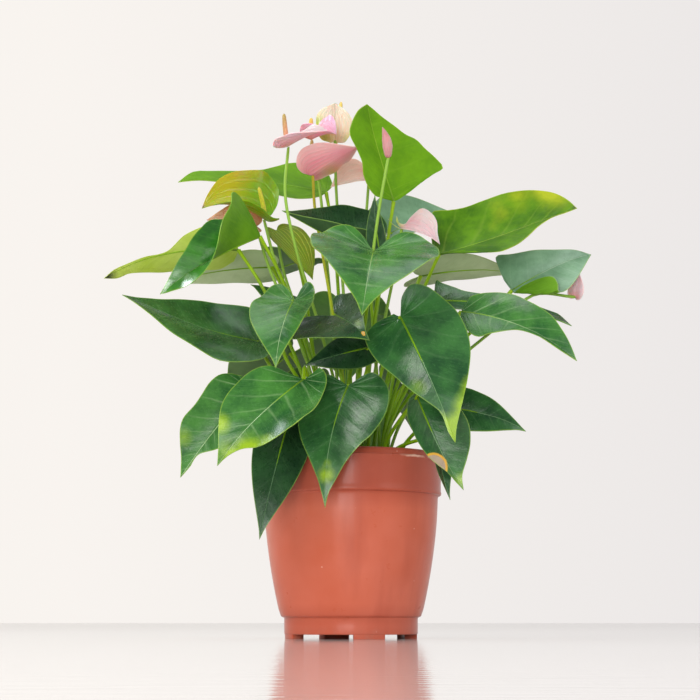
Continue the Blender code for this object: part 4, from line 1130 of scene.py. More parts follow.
class BladeForm:
    """The curved middle surface of a blade, from its four points and its bends."""

    def __init__(self, blade: Blade) -> None:
        """Work out the blade's directions.

        Args:
            blade: The blade's points and bends.
        """
        self.blade = blade
        self.base = at_place(blade.base)
        tip = at_place(blade.tip)
        self.length = float(norm(tip - self.base))
        self.along = (tip - self.base) / self.length
        offsets = [self.sideways(at_place(p)) for p in (blade.one, blade.two)]
        self.widths = [float(norm(offset)) for offset in offsets]
        self.sides = [offset / width for offset, width in zip(offsets, self.widths)]
        across = unit(self.sides[1] - self.sides[0])
        self.normal = unit(np.cross(across, self.along))
        middle = self.base + 0.5 * self.length * self.along
        outward = np.array((middle[0], middle[1], 0.0)) / 100.0
        facing = float(np.dot(self.normal, np.array((0.0, 0.0, 1.0)) + outward))
        self.mirrored = (facing < 0.0) != blade.turned
        if self.mirrored:
            self.normal = -self.normal
        self.across = np.cross(self.along, self.normal)
        self.crease = None
        if blade.crease:
            side, start, stop, turn = blade.crease
            scale = np.array((self.length, self.widths[side]))
            ends = [self.found(side, target) * scale for target in (start, stop)]
            self.crease = (side, ends[0], unit(ends[1] - ends[0]), radians(turn))

    def sideways(self, point: Array) -> Array:
        """The part of a point's offset from the base that is square to the midrib."""
        offset = point - self.base
        return offset - np.dot(offset, self.along) * self.along

    def midrib(self, u: float) -> Array:
        """A place on the midrib, or behind the base where u is below 0.

        Args:
            u: The share of the length from the base to the tip.

        Returns:
            The place.
        """
        if u < 0.0:
            u *= self.blade.lobes
        inside = max(u, 0.0)
        bow = 4.0 * inside * (1.0 - inside)
        if u < 0.0:
            bow = 4.0 * u
        droop = max(0.0, (u - DROOP_START) / (1.0 - DROOP_START)) ** 2
        rise = self.blade.arch * bow - self.blade.hook * droop
        if u < 0.0:
            rise += self.blade.lift * (u / LOBE_REACH) ** 2
        return (self.base + self.along * self.length * u + self.normal * self.length * rise
                + self.across * self.length * self.blade.sway * max(bow, 0.0))

    def creased(self, u: float, v: float) -> tuple[float, float, float]:
        """Where a point beyond the crease lands on the flat blade, and how far it rises.

        Args:
            u: The share along the midrib.
            v: The share of the half's greatest width.

        Returns:
            The new shares, and the rise in millimetres.
        """
        side, start, way, turn = self.crease
        flat = np.array((u * self.length, v * self.widths[side])) - start
        square = np.array((-way[1], way[0]))
        beyond = float(np.dot(flat, square))
        if beyond <= 0.0:
            return u, v, 0.0
        rolled = min(beyond / CREASE_RADIUS, turn)
        spare = beyond - rolled * CREASE_RADIUS
        reach = CREASE_RADIUS * sin(rolled) + spare * cos(rolled)
        rise = CREASE_RADIUS * (1.0 - cos(rolled)) + spare * sin(rolled)
        landed = start + way * np.dot(flat, way) + square * reach
        return landed[0] / self.length, max(landed[1] / self.widths[side], 0.0), rise

    def point(self, side: int, u: float, v: float, folded: bool = True) -> Array:
        """The surface's place.

        Args:
            side: 0 or 1, the half.
            u: The share along the midrib.
            v: The share of the half's greatest width.
            folded: Whether the blade's fold and crease count.

        Returns:
            The place.
        """
        width = self.widths[side]
        out = self.sides[side]
        lift = unit(self.normal - np.dot(self.normal, out) * out)
        above = 0.0
        if folded and self.crease and self.crease[0] == side:
            u, v, above = self.creased(u, v)
        if folded and self.blade.fold[side]:
            turn = radians(self.blade.fold[side]) * min(max(1.0 - u, 0.0), 1.0)
            out, lift = (out * cos(turn) + lift * sin(turn),
                         lift * cos(turn) - out * sin(turn))
        half_turn = 0.5 * radians(self.blade.curl[side])
        if abs(half_turn) < FLAT_CURL:
            reach, rise = width * v, 0.0
        else:
            radius = width / (2.0 * sin(half_turn))
            turn = half_turn - 2.0 * half_turn * v
            reach = radius * (sin(half_turn) - sin(turn))
            rise = -radius * (cos(turn) - cos(half_turn))
        turns = WAVES * u + WAVE_SHIFT * side
        ripple = self.blade.wave * width * v * v * sin(2.0 * pi * turns)
        return self.midrib(u) + out * reach + lift * (rise + ripple + above)

    def found(self, side: int, target: tuple[float, float]) -> Array:
        """The shares along and out of the point that shows at a place, unfolded.

        Args:
            side: 0 or 1, the half.
            target: How far across and up it shows.

        Returns:
            The two shares.
        """
        start = np.array(shown(self.base))
        along = np.array(shown(self.base + self.along * self.length)) - start
        out = np.array(shown(self.base + self.sides[side] * self.widths[side])) - start
        solve = np.linalg.inv(np.stack((along, out), axis=1))
        shares = solve @ (np.array(target) - start)
        for _ in range(TRACE_STEPS):
            shares = np.clip(shares, TRACE_LEAST, TRACE_MOST)
            here = shown(self.point(side, shares[0], shares[1], False))
            shares = shares + TRACE_DAMPING * (solve @ (np.array(target) - np.array(here)))
        return np.clip(shares, TRACE_LEAST, TRACE_MOST)

    def outlines(self, usual: Outline, name: str) -> list[Outline]:
        """Both half outlines, traced where the blade has margins of its own.

        Args:
            usual: The outline that a half has otherwise.
            name: The name its margins go by.

        Returns:
            The two outlines.
        """
        halves = []
        for side, rim in enumerate(RIMS.get(name, ((), ()))):
            traced = [tuple(self.found(side, target)) for target in rim]
            halves.append((*traced, (1.0, 0.0)) if traced else usual)
        return halves

    def steepness(self, sign: float) -> float:
        """The steepest slope of a half at the base.

        Args:
            sign: 1 for upwards and -1 for downwards.

        Returns:
            The slope in radians.
        """
        steepest = 0.0
        for side in (0, 1):
            rise = asin(float(np.dot(self.sides[side], self.normal)))
            rise -= 0.5 * radians(self.blade.curl[side])
            steepest = max(steepest, sign * rise)
        return min(steepest, STEEPEST)


def fan(outlines: Sequence[Outline], ribs: int) -> tuple[Array, list[list[Array]]]:
    """Where each rib leaves the midrib, and where it meets either margin.

    Args:
        outlines: The two half outlines.
        ribs: How many spans the margin is cut into.

    Returns:
        The ribs' shares along the midrib, and the margin points of each half.
    """
    rims = []
    for outline in outlines:
        curve = smooth_through(outline, OUTLINE_STEPS)
        first = 0.0 if outline[0][1] else OUTLINE_START
        shares = np.linspace(first, 1.0, ribs + 1)
        rims.append([curve[int(round(share * (len(curve) - 1)))] for share in shares])
    roots = [sum(rim[i][0] - RIB_SLANT * rim[i][1] for rim in rims) / 2.0 for i in range(ribs + 1)]
    return np.maximum.accumulate(np.clip(roots, 0.0, 1.0)), rims


@dataclass
class BladeSkin:
    """The finished sheet of a blade: ribs fan out from the midrib, and it has a real thickness."""

    form: BladeForm
    outlines: list[Outline]
    materials: list[Material]
    ribs: int = 44
    steps: int = 12
    thickness: float = 0.6
    ripple: float = 0.35
    quilts: float = 9.0
    dimple: float = 14.0

    def __post_init__(self) -> None:
        """Spread the ribs along the outline."""
        self.roots, self.rims = fan(self.outlines, self.ribs)

    def _corner(self, row: int, column: int) -> tuple[int, float, float, float]:
        """Where a corner lies on the blade.

        Args:
            row: Its row, from the base.
            column: Its column, from margin to margin.

        Returns:
            Its half, its place along and out, and its share from the midrib to the margin.
        """
        if self.form.mirrored:
            column = 2 * self.steps - column
        side = 0 if column < self.steps else 1
        w = abs(column - self.steps) / self.steps
        rim_u, rim_v = self.rims[side][row]
        root_u = self.roots[row]
        u = root_u + (rim_u - root_u) * w
        return side, float(u), float(max(rim_v * w, 0.0)), w

    def _surface(self, row: int, column: int) -> Array:
        """The place of a corner, with a slight quilting between the side veins.

        Args:
            row: Its row.
            column: Its column.

        Returns:
            The place.
        """
        side, u, v, w = self._corner(row, column)
        where = self.form.point(side, u, v)
        swell = sin(2.0 * pi * self.quilts * row / self.ribs) * w * (1.0 - w) * 4.0
        finer = ground_noise.noise(Vector(where) / self.dimple) * w
        return where + self.form.normal * self.ripple * (0.5 * swell + finer)

    def _marks(self, item: Item) -> None:
        """Store how far each corner lies from the margin and the midrib, and its stains.

        Args:
            item: The blade's sheet.
        """
        columns = 2 * self.steps
        names = ["margin", "rib", "reach"] + [stain.value for stain in Stain]
        marks = {name: np.zeros(len(item.data.vertices)) for name in names}
        places = np.array([tuple(corner.co) for corner in item.data.vertices]) / MM
        places = places.reshape(self.ribs + 1, columns + 1, 3)
        for index, (row, column) in enumerate(np.ndindex(self.ribs + 1, columns + 1)):
            here = places[row, column]
            edge = places[row, 0 if column < self.steps else columns]
            marks["margin"][index] = norm(edge - here)
            marks["rib"][index] = norm(places[row, self.steps] - here)
            marks["reach"][index] = self._corner(row, column)[1]
            across, up = shown(here)
            for stain, spots in self.form.blade.stains.items():
                for aside, height, radius, strength in spots:
                    apart = hypot(across - aside, up - height) / radius
                    weight = strength * exp(-STAIN_FADING * apart * apart)
                    marks[stain.value][index] = max(marks[stain.value][index], weight)
        for name, values in marks.items():
            carry(item, name, values)

    def build(self, name: str) -> Item:
        """Make the blade.

        Args:
            name: The object's name.

        Returns:
            The object.
        """
        item = sheet_piece(name, 2 * self.steps, self.ribs, self._surface)
        self._marks(item)
        merge_seams(item)
        for material in self.materials:
            item.data.materials.append(material)
        applied(item, "SOLIDIFY", thickness=self.thickness * MM, offset=0.0, material_offset=1,
                material_offset_rim=2)
        rounded_shading(item, 55.0)
        return item


@dataclass
class Tube:
    """A closed round piece along a line, with a radius at each of its places."""

    line: Array
    radii: Array
    material: Material
    sides: int = 12
    last: Optional[Array] = None
    lap: float = 0.0

    def __post_init__(self) -> None:
        """Carry a side direction along the line."""
        tangents = np.gradient(self.line, axis=0)
        if self.last is not None:
            tangents[-1] = self.last
        side = np.array((1.0, 0.0, 0.0))
        if abs(unit(tangents[0])[0]) > 0.9:
            side = np.array((0.0, 1.0, 0.0))
        self.rings = []
        for tangent in tangents:
            tangent = unit(tangent)
            side = unit(side - np.dot(side, tangent) * tangent)
            self.rings.append((side, np.cross(tangent, side)))

    def _surface(self, row: int, column: int) -> Array:
        """The place of a corner; the first and last rows close the ends.

        Args:
            row: Its row.
            column: Its column.

        Returns:
            The place.
        """
        ring = min(max(row - 1, 0), len(self.line) - 1)
        if row in (0, len(self.line) + 1):
            return self.line[ring]
        side, other = self.rings[ring]
        share = (column % self.sides) / self.sides
        angle = -2.0 * pi * share
        radius = self.radii[ring] * (1.0 + self.lap * ((share + 0.45 * ring / len(self.line)) % 1.0))
        return self.line[ring] + radius * (cos(angle) * side + sin(angle) * other)

    def build(self, name: str) -> Item:
        """Make the piece, under a name."""
        item = sheet_piece(name, self.sides, len(self.line) + 1, self._surface)
        return closed(item, self.material)


@dataclass
class Stem:
    """One stem: where it stands, where it ends and the way it comes in there."""

    foot: Array
    end: Array
    arrive: Array
    via: tuple[Any, ...]
    radius: float
    fixed: bool = False
    line: Optional[Array] = None

    def lay(self) -> None:
        """Lay the middle line: upright out of the soil, then bending smoothly to the end."""
        start = np.array((self.foot[0], self.foot[1], SOIL_TOP + STEM_STRAIGHT))
        knots = [start] + [at_place(p) for p in self.via] + [self.end]
        slopes = []
        for k, knot in enumerate(knots):
            if k == 0:
                slope = np.array((0.0, 0.0, RISE_PULL)) * norm(knots[1] - knot)
            elif k == len(knots) - 1:
                reach = min(norm(knot - knots[k - 1]), ARRIVAL_MOST)
                slope = ARRIVAL_PULL * self.arrive * reach
            else:
                slope = 0.5 * (knots[k + 1] - knots[k - 1])
            slopes.append(slope)
        fine = []
        for k in range(len(knots) - 1):
            for t in np.linspace(0.0, 1.0, BEND_STEPS, endpoint=(k == len(knots) - 2)):
                fine.append((2 * t ** 3 - 3 * t ** 2 + 1) * knots[k]
                            + (t ** 3 - 2 * t ** 2 + t) * slopes[k]
                            + (3 * t ** 2 - 2 * t ** 3) * knots[k + 1]
                            + (t ** 3 - t ** 2) * slopes[k + 1])
        upper = evenly(np.array(fine), STEM_SPANS)
        root = np.array((self.foot[0], self.foot[1], SOIL_TOP - HOLE_DEPTH + SOIL_GAP))
        self.line = np.vstack((root, upper))

    def tube(self, material: Material, swelling: float, rings: int = 44,
             low: Optional[float] = None) -> Tube:
        """The stem's rounded form, thicker at its foot.

        Args:
            material: Its material.
            swelling: How much thicker its last few millimetres are.
            rings: How many rings it has.
            low: The height its foot is cut at, if it starts on a crown.

        Returns:
            The tube.
        """
        knots = self.line
        if low is not None:
            knots = np.vstack(((self.foot[0], self.foot[1], low), knots[1:]))
        line = smooth_through(knots, rings)
        total = float(norm(np.diff(line, axis=0), axis=1).sum())
        share = np.linspace(0.0, 1.0, rings)
        above = (share * total - HOLE_DEPTH) / FOOT_SWELLING_REACH
        below = (1.0 - share) * total / TOP_SWELLING_REACH
        foot = 1.0 + FOOT_SWELLING * np.clip(1.0 - above, 0.0, 1.0) ** 2
        top = 1.0 + swelling * np.clip(1.0 - below, 0.0, 1.0)
        taper = 1.0 - STEM_TAPER * share
        return Tube(line, self.radius * foot * top * taper, material)


def natural_foot(end: Array, outward: Array) -> Array:
    """Where a stem leaves the soil: on the side it leans to, lower stems further out.

    Args:
        end: Where the stem ends.
        outward: The way it leans.

    Returns:
        Its foot on the soil.
    """
    lean = float(norm(outward))
    lowness = min(max((HIGH_STEM - end[2]) / (HIGH_STEM - LOW_STEM), 0.0), 1.0)
    reach = FOOT_LEAST + FOOT_MOST * lowness * min(1.0, lean / FULL_LEAN)
    return outward / max(lean, LEAST_LEAN) * reach


def spread_feet(stems: Sequence[Stem]) -> None:
    """Move the feet apart on the soil until each has room.

    Args:
        stems: All the stems.
    """
    feet = np.array([stem.foot for stem in stems])
    free = np.array([[0.0 if stem.fixed else 1.0] for stem in stems])
    for _ in range(SPREAD_ROUNDS):
        apart = feet[:, None, :] - feet[None, :, :]
        distance = norm(apart, axis=2) + np.eye(len(feet)) * 1000.0
        lack = np.clip(FOOT_SPACING - distance, 0.0, None)
        push = (apart / distance[:, :, None]) * lack[:, :, None] * SPREAD_PUSH
        feet = feet + push.sum(axis=1) * free
        reach = norm(feet, axis=1, keepdims=True)
        feet = np.where(reach > FOOT_REACH, feet * FOOT_REACH / reach, feet)
    for stem, foot in zip(stems, feet):
        stem.foot = foot


def closest_points(p: Array, q: Array, r: Array,
                   s: Array) -> tuple[Array, Array]:
    """Where segments come nearest to each other.

    Args:
        p: The starts of the one segments.
        q: Their ends.
        r: The starts of the others.
        s: Their ends.

    Returns:
        The places as shares of the one segments and of the others.
    """
    d1, d2, w = q - p, s - r, p - r
    a = (d1 * d1).sum(-1)
    e = (d2 * d2).sum(-1)
    f = (d2 * w).sum(-1)
    c = (d1 * w).sum(-1)
    b = (d1 * d2).sum(-1)
    denominator = a * e - b * b
    along = np.clip((b * f - c * e) / np.where(denominator < 1e-9, 1.0, denominator), 0.0, 1.0)
    other = np.clip((b * along + f) / e, 0.0, 1.0)
    along = np.clip((b * other - c) / a, 0.0, 1.0)
    return along, other


def clear_stems(stems: Sequence[Stem]) -> None:
    """Bend stems away from each other where they would touch, with both ends held.

    Args:
        stems: All the stems.
    """
    lines = np.array([stem.line for stem in stems])
    radii = np.array([stem.radius for stem in stems])
    count, knots = lines.shape[:2]
    pairs = [(i, j) for i in range(count) for j in range(i + 1, count)]
    first = np.array([i for i, _ in pairs])
    second = np.array([j for _, j in pairs])
    room = (radii[first] + radii[second] + STEM_CLEARANCE)[:, None, None]
    held = np.ones((1, knots, 1))
    held[0, :2] = 0.0
    held[0, -1] = 0.0
    held[0, -2] = 0.3
    for _ in range(CLEAR_ROUNDS):
        p, q = lines[first][:, :-1, None], lines[first][:, 1:, None]
        r, s = lines[second][:, None, :-1], lines[second][:, None, 1:]
        along, other = closest_points(p, q, r, s)
        apart = (p + (q - p) * along[..., None]) - (r + (s - r) * other[..., None])
        distance = norm(apart, axis=-1)
        lack = np.clip(room - distance, 0.0, None)
        if lack.max() < CLEAR_ENOUGH:
            break
        push = apart / np.maximum(distance, 0.05)[..., None] * lack[..., None] * CLEAR_PUSH
        moves = np.zeros_like(lines)
        for own, share, sign, axis in ((first, along, 1.0, 2), (second, other, -1.0, 1)):
            near = (push * (1.0 - share)[..., None]).sum(axis=axis) * sign
            far = (push * share[..., None]).sum(axis=axis) * sign
            np.add.at(moves, (own[:, None], np.arange(knots - 1)[None, :]), near)
            np.add.at(moves, (own[:, None], np.arange(1, knots)[None, :]), far)
        lines = lines + np.clip(moves, -CLEAR_STEP, CLEAR_STEP) * held
    for stem, line in zip(stems, lines):
        stem.line = line


def hand_over(piece: Item, node: str) -> None:
    """Let a piece stand for a node of the frame, on the root body, with the node hidden.

    Args:
        piece: The finished piece.
        node: The node's name.
    """
    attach(piece, "root")
    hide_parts(node)
    log.info("%s: %d faces", piece.name, len(piece.data.polygons))


@dataclass
class Leaf:
    """A heart-shaped blade with its petiole and the rib under its midrib."""

    blade: Blade
    ribs: int = 44
    steps: int = 12

    def __post_init__(self) -> None:
        """Work out the blade's form and its petiole's ends."""
        form = self.form = BladeForm(self.blade)
        arrive = unit(form.normal * 0.55 + form.along * 0.6 + np.array((0.0, 0.0, 0.35)))
        end = form.base - form.normal * 0.2
        outward = end[:2] * 0.6 + form.along[:2] * 25.0
        self.stem = Stem(natural_foot(end, outward), end, arrive, self.blade.via, PETIOLE_RADIUS)

    def _under_rib(self) -> Item:
        """The rounded rib under the midrib, which tapers to the tip."""
        shares = np.linspace(0.0, 0.93, 26)
        line = np.array([self.form.midrib(u) - self.form.normal * 0.38 for u in shares])
        radii = 0.95 * (1.0 - shares) + 0.12
        return Tube(line, radii, PETIOLE_FINISH.material(), sides=8).build("under_rib")

    def parts(self, low: Optional[float] = None) -> list[Item]:
        """The blade, the petiole and the rib as loose objects.

        Args:
            low: The height the petiole is cut at, if it starts on a crown.

        Returns:
            The objects, blade first.
        """
        finish = LEAF_FINISHES[self.blade.look]
        outlines = self.form.outlines(HEART, self.blade.name)
        skin = BladeSkin(self.form, outlines, finish.materials(), self.ribs, self.steps)
        blade = skin.build(self.blade.name)
        petiole = self.stem.tube(PETIOLE_FINISH.material(), 0.3, low=low).build("petiole")
        return [blade, petiole, self._under_rib()]

    def build(self) -> None:
        """Make the leaf and hand it over."""
        hand_over(joined(self.parts(), self.blade.name + "_leaf"), self.blade.name)


@dataclass
class Crown:
    """Leaves at the back that share one short thick stem."""

    name: str
    foot: tuple[float, float]
    rows: tuple[tuple[float, ...], ...]
    look: LeafLook = LeafLook.DARK

    def __post_init__(self) -> None:
        """Turn each leaf round the axis to its bearing."""
        self.leaves = [self._leaf(*row) for row in self.rows]

    def _leaf(self, bearing: float, base_reach: float, base_height: float, tip_reach: float,
              tip_height: float, width: float, roll: float) -> Leaf:
        """One leaf of the crown.

        Args:
            bearing: Its bearing from the front, in degrees.
            base_reach: How far out its base is.
            base_height: How high its base is.
            tip_reach: How far out its tip is.
            tip_height: How high its tip is.
            width: Its half width.
            roll: Its turn about the midrib, in degrees.

        Returns:
            The leaf.
        """
        angle = radians(bearing)
        out = np.array((sin(angle), -cos(angle), 0.0))
        side = np.array((cos(angle), sin(angle), 0.0))
        base = out * base_reach + np.array((0.0, 0.0, base_height))
        tip = out * tip_reach + np.array((0.0, 0.0, tip_height))
        upper = np.cross(unit(tip - base), side)
        upper = upper if upper[2] > 0.0 else -upper
        points = []
        for sign in (-1.0, 1.0):
            rise = tan(radians(14.0 + sign * roll))
            points.append(base + sign * side * width + upper * width * rise)
        leaf = Leaf(Blade(self.name, base, tip, points[0], points[1], look=self.look), 34, 9)
        foot = np.array(self.foot)
        lean = unit(leaf.stem.end[:2] - foot)
        leaf.stem.foot = foot + lean * 0.5 * CROWN_RADIUS
        leaf.stem.fixed = True
        return leaf

    def build(self) -> None:
        """Make the leaves and the crown they part from, and hand them over as one piece."""
        parts = []
        for leaf in self.leaves:
            parts += leaf.parts(SOIL_TOP - 8.0)
        low, high = SOIL_TOP - HOLE_DEPTH + SOIL_GAP, SOIL_TOP + CROWN_HEIGHT
        heights = np.linspace(low, high, 12)
        line = np.array([(self.foot[0], self.foot[1], z) for z in heights])
        shares = np.clip((heights - SOIL_TOP - 4.0) / (CROWN_HEIGHT - 4.0), 0.0, 1.0)
        radii = CROWN_RADIUS * (1.0 - 0.25 * shares ** 2)
        parts.append(Tube(line, radii, PETIOLE_FINISH.material(), sides=16).build("crown"))
        hand_over(joined(parts, self.name + "_group"), self.name)


@dataclass
class Bloom:
    """A spathe on its stalk with its spadix, or a closed bud on its stalk."""

    name: str
    bract: Optional[Blade] = None
    spike: tuple[float, ...] = ()
    look: SpatheLook = SpatheLook.PALE
    spadix: SpadixLook = SpadixLook.CORAL
    stalk: StemFinish = STALK_FINISH
    spike_aside: float = 0.0
    spike_radius: float = 2.2
    bud: tuple[Any, ...] = ()
    via: tuple[Place, ...] = ()

    def __post_init__(self) -> None:
        """Work out where the stalk ends."""
        form = self.form = BladeForm(self.bract) if self.bract else None
        if self.bud:
            base, tip = seen(*self.bud[0]), seen(*self.bud[1])
            arrive = unit(tip - base)
            end = base - arrive * PIECE_GAP
        elif self.bract.turned:
            arrive = unit(form.along * 0.6 + form.normal * 0.7)
            lean = acos(float(np.dot(arrive, form.normal)))
            drop = 0.5 * SPATHE_THICKNESS + PIECE_GAP + STALK_RADIUS * sin(lean)
            end = form.base - arrive * drop / cos(lean)
        else:
            arrive = form.normal
            drop = 0.5 * SPATHE_THICKNESS + PIECE_GAP + STALK_RADIUS * tan(form.steepness(-1.0))
            end = form.base - arrive * drop
        foot = natural_foot(end, end[:2] * 0.7)
        self.stem = Stem(foot, end, arrive, self.via, STALK_RADIUS)

    def _stalk(self) -> None:
        """The stalk, with a slight flare under the spathe."""
        tube = self.stem.tube(self.stalk.material(), 0.12)
        tube.radii[-1] *= 0.9
        tube = Tube(tube.line, tube.radii, tube.material, last=self.stem.arrive)
        hand_over(tube.build(self.name + "_peduncle"), self.name + "_stalk")

    def _spathe(self) -> None:
        """The spathe."""
        skin = BladeSkin(self.form, self.form.outlines(BRACT, self.name),
                         SPATHE_FINISHES[self.look].materials(), ribs=40, steps=12, ripple=0.25)
        hand_over(skin.build(self.name + "_bract"), self.name + "_spathe")

    def _spadix(self) -> None:
        """The spike of tiny flowers, a little narrower at its foot and rounded at its tip."""
        form, radius = self.form, self.spike_radius
        length, lean = self.spike
        lean_side = 0.8 if self.bract.turned else 1.0
        way = unit(form.normal * (1.0 - lean) + form.along * lean + form.across * self.spike_aside)
        slant = sqrt(1.0 - float(np.dot(way, form.normal)) ** 2)
        rise = radius * (lean_side * slant + 1.1 * tan(form.steepness(1.0)))
        start = form.base + form.normal * (0.5 * SPATHE_THICKNESS + PIECE_GAP + rise)
        shares = np.linspace(0.0, 1.0, 40)
        line = np.array([start + way * length * t + form.along * 0.06 * length * t * t
                         for t in shares])
        radii = radius * np.interp(shares, *zip(*SPIKE_PROFILE))
        tube = Tube(line, radii, SPADIX_FINISHES[self.spadix].material(), sides=20)
        hand_over(tube.build(self.name + "_spike"), self.name + "_spadix")

    def _bud(self) -> None:
        """A closed spathe rolled round itself, with the free edge winding up it."""
        base, tip = seen(*self.bud[0]), seen(*self.bud[1])
        shares = np.linspace(0.0, 1.0, 36)
        bend = unit(np.cross(tip - base, np.array((0.0, 1.0, 0.0)))) * 1.6
        line = np.array([base + (tip - base) * t - bend * sin(pi * t) for t in shares])
        radii = self.bud[2] * np.interp(shares, *zip(*BUD_PROFILE))
        material = SPATHE_FINISHES[self.look].materials()[1]
        tube = Tube(line, radii, material, sides=40, lap=0.14)
        item = tube.build(self.name + "_closed")
        heights = np.array([np.dot(np.array(corner.co) / MM - base, unit(tip - base))
                            for corner in item.data.vertices])
        carry(item, "reach", heights / norm(tip - base))
        hand_over(item, self.name + "_bud")

    def build(self) -> None:
        """Make the bloom's pieces."""
        self._stalk()
        if self.bud:
            self._bud()
            return
        self._spathe()
        if self.spike:
            self._spadix()


@dataclass
class Pot:
    """The moulded pot: feet, foot band, bowed wall, rim band with its ledge, lip and inside."""

    sides: int = 180
    rim: float = 80.0
    height: float = 161.5
    band: float = 58.4
    foot_height: float = 3.8
    foot_inner: float = 47.0
    foot_arc: float = 28.0
    foot_start: float = 16.0
    feet: int = 4
    drain: float = 7.0
    floor: float = 6.8
    finish: PotFinish = field(default_factory=PotFinish)

    def profile(self) -> list[tuple[float, float]]:
        """The wall's section as a closed loop of radius and height, from the base outwards."""
        band, rim = self.band, self.rim
        body = smooth_through(((61.9, 21.0), (63.3, 24.6), (67.9, 46.0), (72.3, 72.0), (75.5, 99.0),
                               (76.8, 121.6)), 22)
        inside = smooth_through(((74.9, 158.4), (74.8, 150.0), (73.9, 122.5), (69.7, 72.0),
                                 (60.6, 24.2)), 12)
        outside = [
            (self.foot_inner, self.foot_height), (band - 0.5, self.foot_height),
            (band, self.foot_height + 0.6), (band + 0.1, 11.0), (band + 0.1, 17.4),
            (band + 0.6, 18.4), (60.4, 18.8), (61.4, 19.6),
        ]
        outside += [tuple(point) for point in body]
        outside += [
            (77.0, 123.2), (77.5, 124.1), (78.9, 124.5), (79.7, 125.2), (79.9, 126.6), (79.5, 128.2),
            (79.5, 132.0), (79.8, 146.0), (rim, 154.0), (rim + 0.25, 154.9), (rim + 0.2, 155.6),
            (rim - 0.5, 156.0), (rim - 1.0, 158.4), (rim - 1.8, 160.3), (rim - 3.0, self.height),
            (rim - 4.1, self.height), (rim - 4.9, 160.4),
        ]
        outside += [tuple(point) for point in inside]
        outside += [(55.6, 19.0), (54.8, self.floor + 1.0), (53.8, self.floor),
                    (self.drain, self.floor), (self.drain, self.foot_height)]
        return outside

    def _lathe(self) -> Item:
        """Raise the wall from a ring by extruding and widening it, section by section."""
        profile = self.profile()
        radius, height = profile[0]
        deselect()
        bpy.ops.mesh.primitive_circle_add(vertices=self.sides, radius=radius * MM,
                                          fill_type="NOTHING", location=(0.0, 0.0, height * MM))
        pot = bpy.context.active_object
        bpy.ops.object.transform_apply(location=True, rotation=False, scale=False)
        bpy.ops.object.mode_set(mode="EDIT")
        bpy.ops.mesh.select_all(action="SELECT")
        for next_radius, next_height in profile[1:] + profile[:1]:
            rise = (next_height - height) * MM
            bpy.ops.mesh.extrude_region_move(TRANSFORM_OT_translate={"value": (0.0, 0.0, rise)})
            grow = next_radius / radius
            bpy.ops.transform.resize(value=(grow, grow, 1.0),
                                     center_override=(0.0, 0.0, next_height * MM))
            radius, height = next_radius, next_height
        bpy.ops.mesh.select_all(action="SELECT")
        bpy.ops.mesh.remove_doubles(threshold=1e-5)
        bpy.ops.mesh.normals_make_consistent(inside=False)
        bpy.ops.object.mode_set(mode="OBJECT")
        return pot

    def _raise_feet(self, pot: Item) -> None:
        """Pull the feet down from the ring under the base.

        Args:
            pot: The pot.
        """
        choose(pot)
        bpy.ops.object.mode_set(mode="EDIT")
        bpy.ops.mesh.select_mode(type="FACE")
        bpy.ops.mesh.select_all(action="DESELECT")
        work = bmesh.from_edit_mesh(pot.data)
        pitch = 360.0 / self.feet
        for face in work.faces:
            middle = face.calc_center_median() / MM
            reach = hypot(middle.x, middle.y)
            if abs(middle.z - self.foot_height) > 0.1 or not self.foot_inner < reach < self.band:
                continue
            bearing = degrees(atan2(middle.x, -middle.y)) - self.foot_start
            offset = (bearing + 0.5 * pitch) % pitch - 0.5 * pitch
            if abs(offset) < 0.5 * self.foot_arc:
                face.select = True
        bmesh.update_edit_mesh(pot.data)
        drop = -self.foot_height * MM
        bpy.ops.mesh.extrude_region_move(TRANSFORM_OT_translate={"value": (0.0, 0.0, drop)})
        bpy.ops.mesh.select_mode(type="VERT")
        bpy.ops.object.mode_set(mode="OBJECT")

    def build(self) -> None:
        """Make the pot and hand it over."""
        pot = self._lathe()
        self._raise_feet(pot)
        applied(pot, "BEVEL", width=0.35 * MM, segments=2, limit_method="ANGLE",
                angle_limit=radians(38.0), use_clamp_overlap=True)
        rounded_shading(pot, 35.0)
        pot.name = pot.data.name = "nursery_pot"
        pot.data.materials.append(self.finish.material())
        hand_over(pot, "pot")


